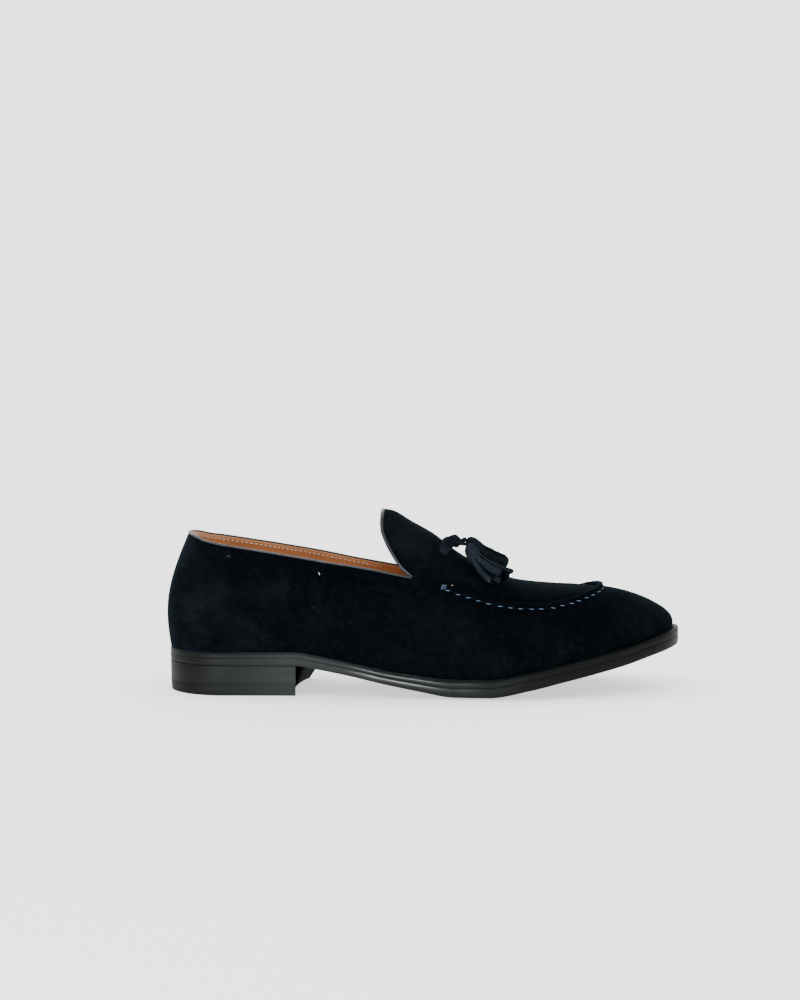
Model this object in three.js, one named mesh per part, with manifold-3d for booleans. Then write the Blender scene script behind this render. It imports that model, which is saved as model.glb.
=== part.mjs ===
// Tassel loafer, right shoe. Millimetres, +Z up, toe at +X, outer (lateral) side at -Y.
// The origin is in the middle of the heel's tread, on the floor.
import * as THREE from 'three';
import { mergeVertices } from 'three/addons/utils/BufferGeometryUtils.js';
import Module from 'manifold-3d';

const wasm = await Module();
wasm.setup();

// Driving sizes of the sole, in plan.
const soleLength = 305;
const ballWidth = 102;
const waistWidth = 67;
const heelWidth = 65;
const heelRounding = 33;
const toeRounding = 92;
const toeInset = 9;
const toeFullness = 2.15;

// Driving sizes of the sole, in height.
const heelHeight = 17.6;
const liftThickness = 6.6;
const toeSpring = 25.2;
const outsoleThickness = 7.2;
const outsoleCrown = 1.3;
const outsoleCrownWidth = 12;
const outsoleBevel = 0.8;
const weltThickness = 3.9;
const weltLedge = 3.8;
const weltSeatWidth = 9;
const insoleThickness = 3;
const breastAt = 76;
const breastSlant = 17.5;
const breastHollow = 4;
const breastLean = 11.5;
const seatEase = 9.2;

// Driving sizes of the upper.
const wallThickness = 2.2;
const coneHeight = 132;
const tongueHeight = 107.6;
const vampHeight = 62;
const toeHeight = 61;
const heelFan = 38;
const toeFan = 240;
const bellySwell = 3;
const backHeight = 94.4;
const throatHeight = 70.2;
const throatAt = 143.5;
const tongueEdgeAt = 125.4;
const bindingWidth = 2.6;
const laceWidth = 5.4;
const laceThickness = 1.4;
const laceBelowEdge = 9.6;
const tasselLength = 30;
const tasselHeadLength = 9;
const tasselHeadWidth = 8.4;
const tasselWidth = 16;
const tasselDepth = 9.4;
const tasselStrips = 8;
const looseStrips = 4;
const stripThickness = 1.3;
const knotWidth = 7.4;
const ridgeWidth = 3;
const ridgeHeight = 2.4;

// Clearance between neighbours that follow the same curve.
const fitGap = 0.3;
const footGap = 0.45;
const insoleGap = 0.6;
const mergeWithin = 0.12;

// Sole by length: overall width, share of it on the outer side, height of the underside above
// the floor, and shares of the outsole, of its crown, of the welt and of the ledge outside the upper.
const seatEnd = (breastAt + seatEase) / soleLength;
const soleTable = [
  {
    at: 0, width: 0.97 * heelWidth, outer: 0.5, under: heelHeight,
    thick: 0.62, crown: 0, welt: 0.72, ledge: 0.06,
  },
  {
    at: 0.12, width: heelWidth, outer: 0.5, under: heelHeight,
    thick: 0.62, crown: 0, welt: 0.72, ledge: 0.4,
  },
  {
    at: breastAt / soleLength, width: 0.995 * heelWidth, outer: 0.51, under: heelHeight,
    thick: 0.62, crown: 0, welt: 0.72, ledge: 0.57,
  },
  {
    at: seatEnd, width: 0.99 * heelWidth, outer: 0.515, under: 0.92 * heelHeight,
    thick: 0.61, crown: 0, welt: 0.72, ledge: 0.6,
  },
  {
    at: 0.34, width: 0.955 * waistWidth, outer: 0.555, under: 0.735 * heelHeight,
    thick: 0.58, crown: 0, welt: 0.73, ledge: 0.7,
  },
  {
    at: 0.41, width: 1.03 * waistWidth, outer: 0.57, under: 0.48 * heelHeight,
    thick: 0.58, crown: 0, welt: 0.76, ledge: 0.85,
  },
  {
    at: 0.49, width: 0.78 * ballWidth, outer: 0.555, under: 0.21 * heelHeight,
    thick: 0.72, crown: 0.3, welt: 0.88, ledge: 1,
  },
  {
    at: 0.555, width: 0.88 * ballWidth, outer: 0.53, under: 0,
    thick: 0.97, crown: 1, welt: 1, ledge: 1,
  },
  {
    at: 0.62, width: 0.965 * ballWidth, outer: 0.505, under: 0,
    thick: 1, crown: 1, welt: 1, ledge: 1,
  },
  {
    at: 0.7, width: ballWidth, outer: 0.485, under: 0.17 * toeSpring,
    thick: 1, crown: 1, welt: 1, ledge: 1,
  },
  {
    at: 0.76, width: 0.995 * ballWidth, outer: 0.465, under: 0.335 * toeSpring,
    thick: 0.98, crown: 1, welt: 1, ledge: 1,
  },
  {
    at: 0.88, width: 0.95 * ballWidth, outer: 0.42, under: 0.64 * toeSpring,
    thick: 0.98, crown: 1, welt: 1, ledge: 1,
  },
  {
    at: 0.94, width: 0.92 * ballWidth, outer: 0.41, under: 0.83 * toeSpring,
    thick: 0.98, crown: 1, welt: 1, ledge: 1,
  },
  {
    at: 1, width: 0.9 * ballWidth, outer: 0.41, under: toeSpring,
    thick: 0.95, crown: 0.8, welt: 1, ledge: 1,
  },
];

// Upper by length: height of the ridge above the floor, its shift to the inner side, fullness of
// the outer and inner cheeks, and share of the swell low on the wall.
const upperTable = [
  { at: 0, ridge: coneHeight, shift: 0, outer: 2, inner: 2, swell: 1 },
  { at: 0.06, ridge: coneHeight, shift: 0, outer: 2.3, inner: 2.3, swell: 1 },
  { at: 0.125, ridge: coneHeight, shift: 0, outer: 3, inner: 3, swell: 1 },
  { at: 0.3, ridge: coneHeight, shift: 0, outer: 3.4, inner: 3.4, swell: 1 },
  { at: 0.365, ridge: 1.03 * tongueHeight, shift: 0.015 * ballWidth, outer: 2.75, inner: 2.9, swell: 1 },
  { at: 0.41, ridge: tongueHeight, shift: 0.02 * ballWidth, outer: 2.3, inner: 2.4, swell: 0.9 },
  { at: 0.434, ridge: 0.991 * tongueHeight, shift: 0.022 * ballWidth, outer: 2.22, inner: 2.35, swell: 0.8 },
  { at: 0.474, ridge: 0.927 * tongueHeight, shift: 0.025 * ballWidth, outer: 2.15, inner: 2.3, swell: 0.7 },
  { at: 0.515, ridge: 0.86 * tongueHeight, shift: 0.03 * ballWidth, outer: 2.12, inner: 2.3, swell: 0.7 },
  { at: 0.564, ridge: 0.754 * tongueHeight, shift: 0.035 * ballWidth, outer: 2.15, inner: 2.32, swell: 0.7 },
  { at: 0.62, ridge: 1.145 * vampHeight, shift: 0.045 * ballWidth, outer: 2.22, inner: 2.4, swell: 0.7 },
  { at: 0.685, ridge: 1.03 * vampHeight, shift: 0.06 * ballWidth, outer: 2.35, inner: 2.55, swell: 0.7 },
  { at: 0.75, ridge: 0.992 * vampHeight, shift: 0.075 * ballWidth, outer: 2.4, inner: 2.7, swell: 0.7 },
  { at: toeFan / soleLength, ridge: toeHeight, shift: 0.08 * ballWidth, outer: 2.4, inner: 2.65, swell: 0.7 },
  { at: 0.87, ridge: toeHeight, shift: 0.08 * ballWidth, outer: 2.25, inner: 2.35, swell: 0.6 },
  { at: 1, ridge: toeHeight, shift: 0.08 * ballWidth, outer: 2.1, inner: 2.1, swell: 0.4 },
];

// Seam ridge round the apron, by length: distance in plan from the ridge line of the upper.
const seamTable = [
  { at: 0.53, reach: 0.325 * ballWidth },
  { at: 0.58, reach: 0.336 * ballWidth },
  { at: 0.64, reach: 0.348 * ballWidth },
  { at: 0.7, reach: 0.357 * ballWidth },
  { at: 0.736, reach: 0.351 * ballWidth },
  { at: 0.77, reach: 0.319 * ballWidth },
  { at: 0.81, reach: 0.272 * ballWidth },
  { at: 0.86, reach: 0.226 * ballWidth },
  { at: 0.95, reach: 0.196 * ballWidth },
  { at: 1, reach: 0.19 * ballWidth },
];
const seamStart = 162;

// Smooth curve through the rows of a table, without overshoot between them.
function curveThrough(table, column) {
  const x = table.map((row) => row.at);
  const y = table.map((row) => row[column]);
  const last = x.length - 1;
  const step = x.slice(1).map((value, i) => value - x[i]);
  const rise = step.map((value, i) => (y[i + 1] - y[i]) / value);
  const slope = y.map((_, i) => {
    if (i === 0) return rise[0];
    if (i === last) return rise[last - 1];
    if (rise[i - 1] * rise[i] <= 0) return 0;
    return (step[i - 1] + step[i]) / (step[i - 1] / rise[i - 1] + step[i] / rise[i]);
  });
  return (at) => {
    const t = Math.min(Math.max(at, x[0]), x[last]);
    let i = 0;
    while (i < last - 1 && t > x[i + 1]) i += 1;
    const u = (t - x[i]) / step[i];
    const a = (1 + 2 * u) * (1 - u) ** 2;
    const b = u * (1 - u) ** 2;
    const c = u * u * (3 - 2 * u);
    const d = u * u * (u - 1);
    return a * y[i] + b * step[i] * slope[i] + c * y[i + 1] + d * step[i] * slope[i + 1];
  };
}

function curvesOf(table) {
  const names = Object.keys(table[0]).filter((name) => name !== 'at');
  return Object.fromEntries(names.map((name) => [name, curveThrough(table, name)]));
}

const sole = curvesOf(soleTable);
const upper = curvesOf(upperTable);
const seam = curvesOf(seamTable);

// Stations run from 0 at the back of the heel to 1 at the tip of the toe. They close up at both
// ends, where the outline turns.
const heelStations = 0.16;
const toeStations = 0.3;
const outer = -1;
const inner = 1;

function stationX(station) {
  const quarter = Math.PI / 2;
  if (station < heelStations) {
    return heelRounding * (1 - Math.cos(quarter * station / heelStations));
  }
  if (station > 1 - toeStations) {
    return soleLength - toeRounding * (1 - Math.cos(quarter * (1 - station) / toeStations));
  }
  const run = (station - heelStations) / (1 - heelStations - toeStations);
  return heelRounding + run * (soleLength - toeRounding - heelRounding);
}

function stationAt(x) {
  const quarter = Math.PI / 2;
  if (x < heelRounding) {
    return heelStations * Math.acos(Math.min(1, 1 - x / heelRounding)) / quarter;
  }
  const toGo = soleLength - x;
  if (toGo < toeRounding) {
    return 1 - toeStations * Math.acos(Math.min(1, 1 - toGo / toeRounding)) / quarter;
  }
  const run = (x - heelRounding) / (soleLength - toeRounding - heelRounding);
  return heelStations + run * (1 - heelStations - toeStations);
}

function outlinePoint(station, side) {
  if (station < 0) return outlinePoint(-station, -side);
  if (station > 1) return outlinePoint(2 - station, -side);
  const x = stationX(station);
  const share = x / soleLength;
  const outerShare = sole.outer(share);
  const edge = side * sole.width(share) * (side === outer ? outerShare : 1 - outerShare);
  const heelTurn = Math.max(0, 1 - x / heelRounding);
  const toeTurn = Math.max(0, 1 - (soleLength - x) / toeRounding);
  const centre = toeInset * toeTurn;
  const heelRound = Math.sqrt(Math.max(0, 1 - heelTurn ** 2));
  const toeRound = Math.max(0, 1 - toeTurn ** toeFullness) ** (1 / toeFullness);
  return new THREE.Vector2(x, centre + (edge - centre) * heelRound * toeRound);
}

// A point of the sole's outline, moved inwards square to it.
function insetPoint(station, side, inset) {
  const reach = 0.004;
  const before = outlinePoint(station - reach, side);
  const after = outlinePoint(station + reach, side);
  const along = after.sub(before).normalize();
  const inwards = new THREE.Vector2(along.y, -along.x).multiplyScalar(side);
  return outlinePoint(station, side).addScaledVector(inwards, inset);
}

const share = (x) => x / soleLength;
const soleUnder = (x) => sole.under(share(x));
const outsoleTop = (x) => soleUnder(x) + outsoleThickness * sole.thick(share(x));
const weltUnder = (x) => outsoleTop(x) + fitGap;
const weltTop = (x) => weltUnder(x) + weltThickness * sole.welt(share(x));
const treadEdge = (x) => soleUnder(x) + outsoleCrown * sole.crown(share(x));
const upperFoot = (x) => weltTop(x) + footGap;
const ledge = (station) => weltLedge * sole.ledge(share(stationX(station)));

// Closed skin over a row of loops of points, capped at the ends that don't close to an edge.
function skin(loops, capStart = false, capEnd = false) {
  const count = loops[0].length;
  const position = loops.flat().flatMap((point) => [point.x, point.y, point.z]);
  const index = [];
  for (let i = 0; i < loops.length - 1; i += 1) {
    for (let k = 0; k < count; k += 1) {
      const a = i * count + k;
      const b = i * count + (k + 1) % count;
      index.push(a, a + count, b, b, a + count, b + count);
    }
  }
  const end = (loops.length - 1) * count;
  for (let k = 1; k < count - 1; k += 1) {
    if (capStart) index.push(0, k, k + 1);
    if (capEnd) index.push(end, end + k + 1, end + k);
  }
  const geometry = new THREE.BufferGeometry();
  geometry.setAttribute('position', new THREE.Float32BufferAttribute(position, 3));
  geometry.setIndex(index);
  return geometry;
}

function solidOf(geometry) {
  const plain = geometry.clone();
  plain.deleteAttribute('normal');
  plain.deleteAttribute('uv');
  const merged = mergeVertices(plain, 1e-4);
  const corners = Array.from(merged.index.array);
  const kept = [];
  for (let i = 0; i < corners.length; i += 3) {
    const [a, b, c] = corners.slice(i, i + 3);
    if (a !== b && b !== c && c !== a) kept.push(a, b, c);
  }
  return new wasm.Manifold(new wasm.Mesh({
    numProp: 3,
    vertProperties: new Float32Array(merged.attributes.position.array),
    triVerts: new Uint32Array(kept),
  }));
}

function geometryOf(solid) {
  const mesh = solid.getMesh();
  const geometry = new THREE.BufferGeometry();
  geometry.setAttribute('position', new THREE.Float32BufferAttribute(mesh.vertProperties, 3));
  geometry.setIndex(Array.from(mesh.triVerts));
  return geometry;
}

// A layer of the sole. Each ring is an inset from the outline and a height above the floor, for
// one side from the middle of the underside round to the middle of the top.
function layerLoops(stations, rings) {
  return stations.map((station) => {
    const walk = (side, list) => list.map((ring) => {
      const point = insetPoint(station, side, ring.inset(station));
      return new THREE.Vector3(point.x, point.y, ring.height(point.x));
    });
    return [...walk(outer, rings), ...walk(inner, [...rings].reverse())];
  });
}

function stationsBetween(from, to, count) {
  return Array.from({ length: count + 1 }, (_, i) => from + (to - from) * i / count);
}

const soleStations = stationsBetween(0, 1, 48);

// Outsole: one sole leather from heel seat to toe, flat in the middle of the tread, with a crown
// that lifts its border in the forefoot and a bevel all round.
function outsole() {
  const rings = [
    { inset: () => outsoleCrownWidth, height: soleUnder },
    { inset: () => outsoleBevel, height: treadEdge },
    { inset: () => 0, height: (x) => treadEdge(x) + outsoleBevel },
    { inset: () => 0, height: outsoleTop },
  ];
  return solidOf(skin(layerLoops(soleStations, rings)));
}

// Welt: a strip that runs right round the shoe between outsole and upper.
function welt() {
  const strip = (station) => ledge(station) + weltSeatWidth;
  const slab = (inset, above) => [
    { inset, height: (x) => weltUnder(x) - above },
    { inset, height: (x) => weltTop(x) + above },
  ];
  const whole = solidOf(skin(layerLoops(soleStations, slab(() => 0, 0))));
  return whole.subtract(solidOf(skin(layerLoops(soleStations, slab(strip, 1)))));
}

// Heel: lift and block share the outline of the seat and one hollow, slanted breast.
function heelLayer(bottom, topAt, bottomInset, topInset) {
  const stations = stationsBetween(0, stationAt(breastAt + 2 * breastSlant), 18);
  const rings = [
    { inset: () => bottomInset, height: () => bottom },
    { inset: () => topInset, height: topAt },
  ];
  const whole = solidOf(skin(layerLoops(stations, rings), false, true));
  return whole.subtract(solidOf(heelBreast()));
}

// What is cut off in front of the heel. Towards the inner side the block overhangs its own tread.
function heelBreast() {
  const middle = breastAt + breastSlant / 2 - breastHollow;
  const front = new THREE.Shape();
  front.moveTo(breastAt - breastSlant / 2, -heelWidth);
  front.lineTo(breastAt, -heelWidth / 2);
  front.quadraticCurveTo(2 * middle - breastAt - breastSlant / 2, 0, breastAt + breastSlant, heelWidth / 2);
  front.lineTo(breastAt + 1.5 * breastSlant, heelWidth);
  front.lineTo(soleLength, heelWidth);
  front.lineTo(soleLength, -heelWidth);
  const prism = planPrism(front, -1, heelHeight + 1);
  const spots = prism.attributes.position;
  for (let i = 0; i < spots.count; i += 1) {
    const inward = THREE.MathUtils.clamp(spots.getY(i) / heelWidth + 0.5, 0, 1);
    const below = 1 - spots.getZ(i) / heelHeight;
    spots.setX(i, spots.getX(i) - breastLean * inward * below);
  }
  return prism;
}

// Prism over a plan outline, and prism across the shoe over a side outline of length and height.
function planPrism(shape, bottom, top) {
  const prism = new THREE.ExtrudeGeometry(shape, {
    depth: top - bottom, bevelEnabled: false, curveSegments: 10,
  });
  return prism.translate(0, 0, bottom);
}

function sidePrism(shape, from, to) {
  const prism = new THREE.ExtrudeGeometry(shape, {
    depth: to - from, bevelEnabled: false, curveSegments: 10,
  });
  return prism.rotateX(Math.PI / 2).translate(0, to, 0);
}

// Insole: a footbed inside the upper, with the filler that beds it in the hollow of the welt.
function insole() {
  const edge = (station) => ledge(station) + wallThickness + insoleGap;
  const bed = (station) => ledge(station) + weltSeatWidth + fitGap;
  const rings = [
    { inset: bed, height: weltUnder },
    { inset: bed, height: upperFoot },
    { inset: edge, height: upperFoot },
    { inset: edge, height: (x) => upperFoot(x) + insoleThickness },
  ];
  return solidOf(skin(layerLoops(soleStations, rings)));
}

// A rib of the upper climbs from the foot of the wall to the ridge. The ribs stand square to the
// shoe along its length and fan out round the heel and the toe. grow moves the surface outwards.
function ribFoot(station, side, grow) {
  return insetPoint(station, side, ledge(station) - grow);
}

function ribPoint(station, side, angle, grow) {
  const x = stationX(station);
  const at = share(x);
  const spineX = Math.min(Math.max(x, heelFan), toeFan);
  const spine = new THREE.Vector3(spineX, upper.shift(share(spineX)), upper.ridge(share(spineX)) + grow);
  const foot = ribFoot(station, side, grow);
  const reach = Math.hypot(foot.x - spine.x, foot.y - spine.y);
  const fullness = side === outer ? upper.outer(at) : upper.inner(at);
  const rise = Math.sin(angle) ** (2 / fullness);
  const run = Math.max(0, Math.cos(angle)) ** (2 / fullness);
  const swell = bellySwell * upper.swell(at) * Math.sin(2 * Math.PI * rise);
  const across = run + swell / reach;
  const bottom = upperFoot(foot.x);
  return new THREE.Vector3(
    spine.x + (foot.x - spine.x) * across,
    spine.y + (foot.y - spine.y) * across,
    bottom + (spine.z - bottom) * rise,
  );
}

// Closed form of the last, moved outwards by grow, with its foot drawn down by drop.
function lastForm(grow, drop, stationCount, ribSteps) {
  const angles = stationsBetween(0, Math.PI / 2, ribSteps);
  const loops = stationsBetween(0, 1, stationCount).map((station) => {
    const climb = (side) => angles.slice(0, -1).map((angle) => ribPoint(station, side, angle, grow));
    const below = (points) => (drop > 0 ? [points[0].clone().setZ(points[0].z - drop)] : []);
    const outerRib = climb(outer);
    const innerRib = climb(inner);
    const top = ribPoint(station, outer, Math.PI / 2, grow);
    return [...below(outerRib), ...outerRib, top, ...innerRib.reverse(), ...below(climb(inner))];
  });
  return solidOf(skin(loops));
}

// Side view of the collar: the top line from the back to the throat, then up the tongue's edge.
const topLine = [
  { at: -0.1, height: backHeight + 0.028 * soleLength },
  { at: 0.04, height: backHeight },
  { at: 0.08, height: backHeight - 0.155 * (backHeight - throatHeight) },
  { at: 0.21, height: backHeight - 0.42 * (backHeight - throatHeight) },
  { at: 0.38, height: backHeight - 0.785 * (backHeight - throatHeight) },
  { at: throatAt / soleLength, height: throatHeight },
];
const tongueRise = tongueHeight - throatHeight;
const tongueSweep = throatAt - tongueEdgeAt;
const tongueLine = [
  { at: 0, back: 0 },
  { at: 0.12, back: 0.31 },
  { at: 0.29, back: 0.57 },
  { at: 0.53, back: 0.85 },
  { at: 0.71, back: 0.985 },
  { at: 0.82, back: 1 },
  { at: 1, back: 0.95 },
];
const collar = curveThrough(topLine, 'height');
const tongueBack = curveThrough(tongueLine, 'back');
const collarHeight = (x) => collar(share(x));
const tongueEdge = (z) => throatAt - tongueSweep * tongueBack((z - throatHeight) / tongueRise);

// A line in the side view moved square to itself, to its right as it runs.
function movedLine(line, inset) {
  return line.map((point, i) => {
    const before = line[Math.max(0, i - 1)];
    const after = line[Math.min(line.length - 1, i + 1)];
    const along = after.clone().sub(before).normalize();
    return new THREE.Vector2(point.x + along.y * inset, point.y - along.x * inset);
  });
}

function collarLine(inset) {
  const line = stationsBetween(-0.1 * soleLength, throatAt, 16)
    .map((x) => new THREE.Vector2(x, collarHeight(x)));
  return movedLine(line, inset);
}

function tongueLineSide(inset) {
  const line = stationsBetween(throatHeight, tongueHeight, 10)
    .map((z) => new THREE.Vector2(tongueEdge(z), z));
  return movedLine(line, inset);
}

// Everything above the collar and behind the tongue, with its border moved down and forwards.
function collarCut(inset) {
  const back = collarLine(inset);
  const front = tongueLineSide(inset);
  const throat = new THREE.Vector2(throatAt, throatHeight);
  const corner = back.at(-1).clone().add(front[0]).multiplyScalar(0.5).sub(throat).normalize();
  const top = coneHeight + 20;
  const shape = new THREE.Shape([
    ...back,
    throat.addScaledVector(corner, inset),
    ...front,
    new THREE.Vector2(front.at(-1).x, top),
    new THREE.Vector2(back[0].x, top),
  ]);
  return solidOf(sidePrism(shape, -heelWidth, heelWidth));
}

// Angle of the rib where it passes a given distance in plan from the ridge line.
function angleAcross(station, side, distance, grow) {
  let low = 0;
  let high = Math.PI / 2;
  const ridgeLine = upper.shift(share(Math.min(stationX(station), toeFan)));
  for (let i = 0; i < 24; i += 1) {
    const middle = (low + high) / 2;
    const point = ribPoint(station, side, middle, grow);
    const centreX = Math.min(stationX(station), toeFan);
    const away = Math.hypot(point.x - centreX, point.y - ridgeLine);
    if (away > distance) low = middle;
    else high = middle;
  }
  return low;
}

// Distance of the seam in plan from the ridge line, along the rib of a station.
function seamReach(station) {
  return seam.reach(share(stationX(station)));
}

// Ridge of the apron's seam: a strip that stands on the wall, from one rear end round the toe to
// the other, sunk a little into the wall that carries it.
function seamRidge() {
  const nudge = 0.02;
  const stations = stationsBetween(stationAt(seamStart), 1, 26);
  const path = [
    ...stations.map((station) => ({ station, side: outer })),
    ...stations.slice(0, -1).reverse().map((station) => ({ station, side: inner })),
  ].map(({ station, side }) => {
    const angle = angleAcross(station, side, seamReach(station), 0);
    const point = ribPoint(station, side, angle, 0);
    const upwards = ribPoint(station, side, angle + nudge, 0).sub(point).normalize();
    return { point, upwards };
  });
  const loops = path.map(({ point, upwards }, i) => {
    const next = path[Math.min(i + 1, path.length - 1)].point;
    const along = next.clone().sub(path[Math.max(i - 1, 0)].point);
    const outwards = new THREE.Vector3().crossVectors(along, upwards).normalize();
    const corner = (across, up) => point.clone()
      .addScaledVector(upwards, across)
      .addScaledVector(outwards, up);
    return [
      corner(0, -wallThickness / 2),
      corner(0, 0.8 * ridgeHeight),
      corner(0.25 * ridgeWidth, ridgeHeight),
      corner(ridgeWidth, 0.75 * ridgeHeight),
      corner(ridgeWidth, -wallThickness / 2),
    ];
  });
  return solidOf(skin(loops, true, true));
}

// Upper: one hollow wall, open at the collar and under the foot, with the seam ridge round the
// apron standing on it.
function upperShell() {
  return lastForm(0, 0, 48, 12)
    .add(seamRidge())
    .subtract(lastForm(-wallThickness, 8, 36, 9))
    .subtract(collarCut(bindingWidth + fitGap));
}

// Point of a rib at a height that may itself depend on where the rib passes.
function pointAtHeight(station, side, heightAt, grow) {
  let low = 0;
  let high = Math.PI / 2;
  for (let i = 0; i < 24; i += 1) {
    const middle = (low + high) / 2;
    const point = ribPoint(station, side, middle, grow);
    if (point.z < heightAt(point.x)) low = middle;
    else high = middle;
  }
  return ribPoint(station, side, low, grow);
}

// Point of the surface over a place in plan, lifted off it.
function overSurface(x, y, lift) {
  const station = stationAt(x);
  const ridgeLine = upper.shift(share(x));
  const side = y < ridgeLine ? outer : inner;
  const point = ribPoint(station, side, angleAcross(station, side, Math.abs(y - ridgeLine), 0), 0);
  return point.add(new THREE.Vector3(0, 0, lift));
}

function surfaceNormal(x, y) {
  const reach = 0.6;
  const slope = (dx, dy) => (
    overSurface(x + dx, y + dy, 0).z - overSurface(x - dx, y - dy, 0).z
  ) / (2 * reach);
  return new THREE.Vector3(-slope(reach, 0), -slope(0, reach), 1).normalize();
}

// Round bead along a row of points.
function bead(points, width, steps) {
  const round = new THREE.Shape();
  round.absarc(0, 0, width / 2, 0, 2 * Math.PI, false);
  return new THREE.ExtrudeGeometry(round, {
    steps, bevelEnabled: false, curveSegments: 4, extrudePath: new THREE.CatmullRomCurve3(points),
  });
}

// Rolled edge of the collar, from throat to throat round the back.
function collarBinding() {
  const middle = -wallThickness / 2;
  const edge = (x) => collarHeight(x) - bindingWidth / 2;
  const stations = stationsBetween(stationAt(throatAt - bindingWidth), 0, 22);
  const climb = (side) => stations.map((station) => pointAtHeight(station, side, edge, middle));
  const points = [...climb(outer), ...climb(inner).slice(0, -1).reverse()];
  return solidOf(bead(points, bindingWidth, 56));
}

// Rolled edge of the tongue, from the throat over its tip to the other throat.
function tongueBinding() {
  const middle = -wallThickness / 2;
  const edgePoint = (side, angle) => {
    let x = throatAt;
    let point = ribPoint(stationAt(x), side, angle, middle);
    for (let i = 0; i < 12; i += 1) {
      x += tongueEdge(point.z) + bindingWidth / 2 - point.x;
      point = ribPoint(stationAt(x), side, angle, middle);
    }
    return point;
  };
  const startAngle = (side) => {
    let low = 0;
    let high = Math.PI / 2;
    for (let i = 0; i < 24; i += 1) {
      const half = (low + high) / 2;
      if (edgePoint(side, half).z < throatHeight + 0.8 * bindingWidth) low = half;
      else high = half;
    }
    return low;
  };
  const climb = (side) => stationsBetween(startAngle(side), Math.PI / 2, 11)
    .map((angle) => edgePoint(side, angle));
  const points = [...climb(outer), ...climb(inner).slice(0, -1).reverse()];
  return solidOf(bead(points, bindingWidth, 36));
}

// Flat lace where it lies on the outside of the collar, between two slots.
function laceRun(side, from, to) {
  const middle = (x) => collarHeight(x) - laceBelowEdge;
  const loops = stationsBetween(from, to, 9).map((x) => {
    const at = (above, grow) => pointAtHeight(
      stationAt(x), side, (along) => middle(along) + above, grow,
    );
    const half = laceWidth / 2;
    const top = fitGap + laceThickness;
    const loop = [at(-half, fitGap), at(-half, top), at(half, top), at(half, fitGap)];
    return side === outer ? loop : loop.reverse();
  });
  return solidOf(skin(loops, true, true));
}

const laceRuns = [
  { name: 'rear', from: 0.19 * soleLength, to: 0.295 * soleLength },
  { name: 'front', from: 0.377 * soleLength, to: 0.477 * soleLength },
];

// Bow: on each side the lace comes out of its slot, crosses to the knot on the instep and leaves
// it for its tassel. Places are in plan, with a lift above the instep.
const bowPoints = [
  { x: 160.4, y: 14.6, lift: 1.5, width: 4.8 },
  { x: 163, y: 11, lift: 2, width: 4.8 },
  { x: 166.6, y: 6, lift: 2.8, width: 4.8 },
  { x: 170.6, y: 2.6, lift: 4, width: 4.4 },
  { x: 174.6, y: 4.8, lift: 6, width: 3 },
  { x: 177, y: 8.6, lift: 9.4, width: 2 },
];
const knotPlace = { x: 171, y: 0, lift: 4.4 };
const bowTurn = 1;

// Strap along a row of points, its flat side turned to the surface under each.
function band(points, normals, widths, thickness) {
  const loops = points.map((point, i) => {
    const next = points[Math.min(i + 1, points.length - 1)];
    const along = next.clone().sub(points[Math.max(i - 1, 0)]).normalize();
    const across = normals[i].clone().cross(along).normalize();
    const up = new THREE.Vector3().crossVectors(along, across).normalize();
    const corner = (a, u) => point.clone()
      .addScaledVector(across, a * widths[i] / 2)
      .addScaledVector(up, u * thickness / 2);
    return [corner(-1, 1), corner(1, 1), corner(1, -1), corner(-1, -1)];
  });
  return solidOf(skin(loops, true, true));
}

function bowPath(side) {
  return bowPoints.map((row) => overSurface(row.x, bowTurn + side * row.y, row.lift));
}

function bowNormals(side) {
  return bowPoints.map((row) => surfaceNormal(row.x, bowTurn + side * row.y));
}

function bow() {
  const place = overSurface(knotPlace.x, bowTurn + knotPlace.y, knotPlace.lift);
  const knot = new THREE.SphereGeometry(knotWidth / 2, 10, 8);
  knot.scale(1, 1.1, 0.95).translate(place.x, place.y, place.z);
  const widths = bowPoints.map((row) => row.width);
  return [outer, inner].reduce((whole, side) => (
    whole.add(band(bowPath(side), bowNormals(side), widths, laceThickness))
  ), solidOf(knot));
}

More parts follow.
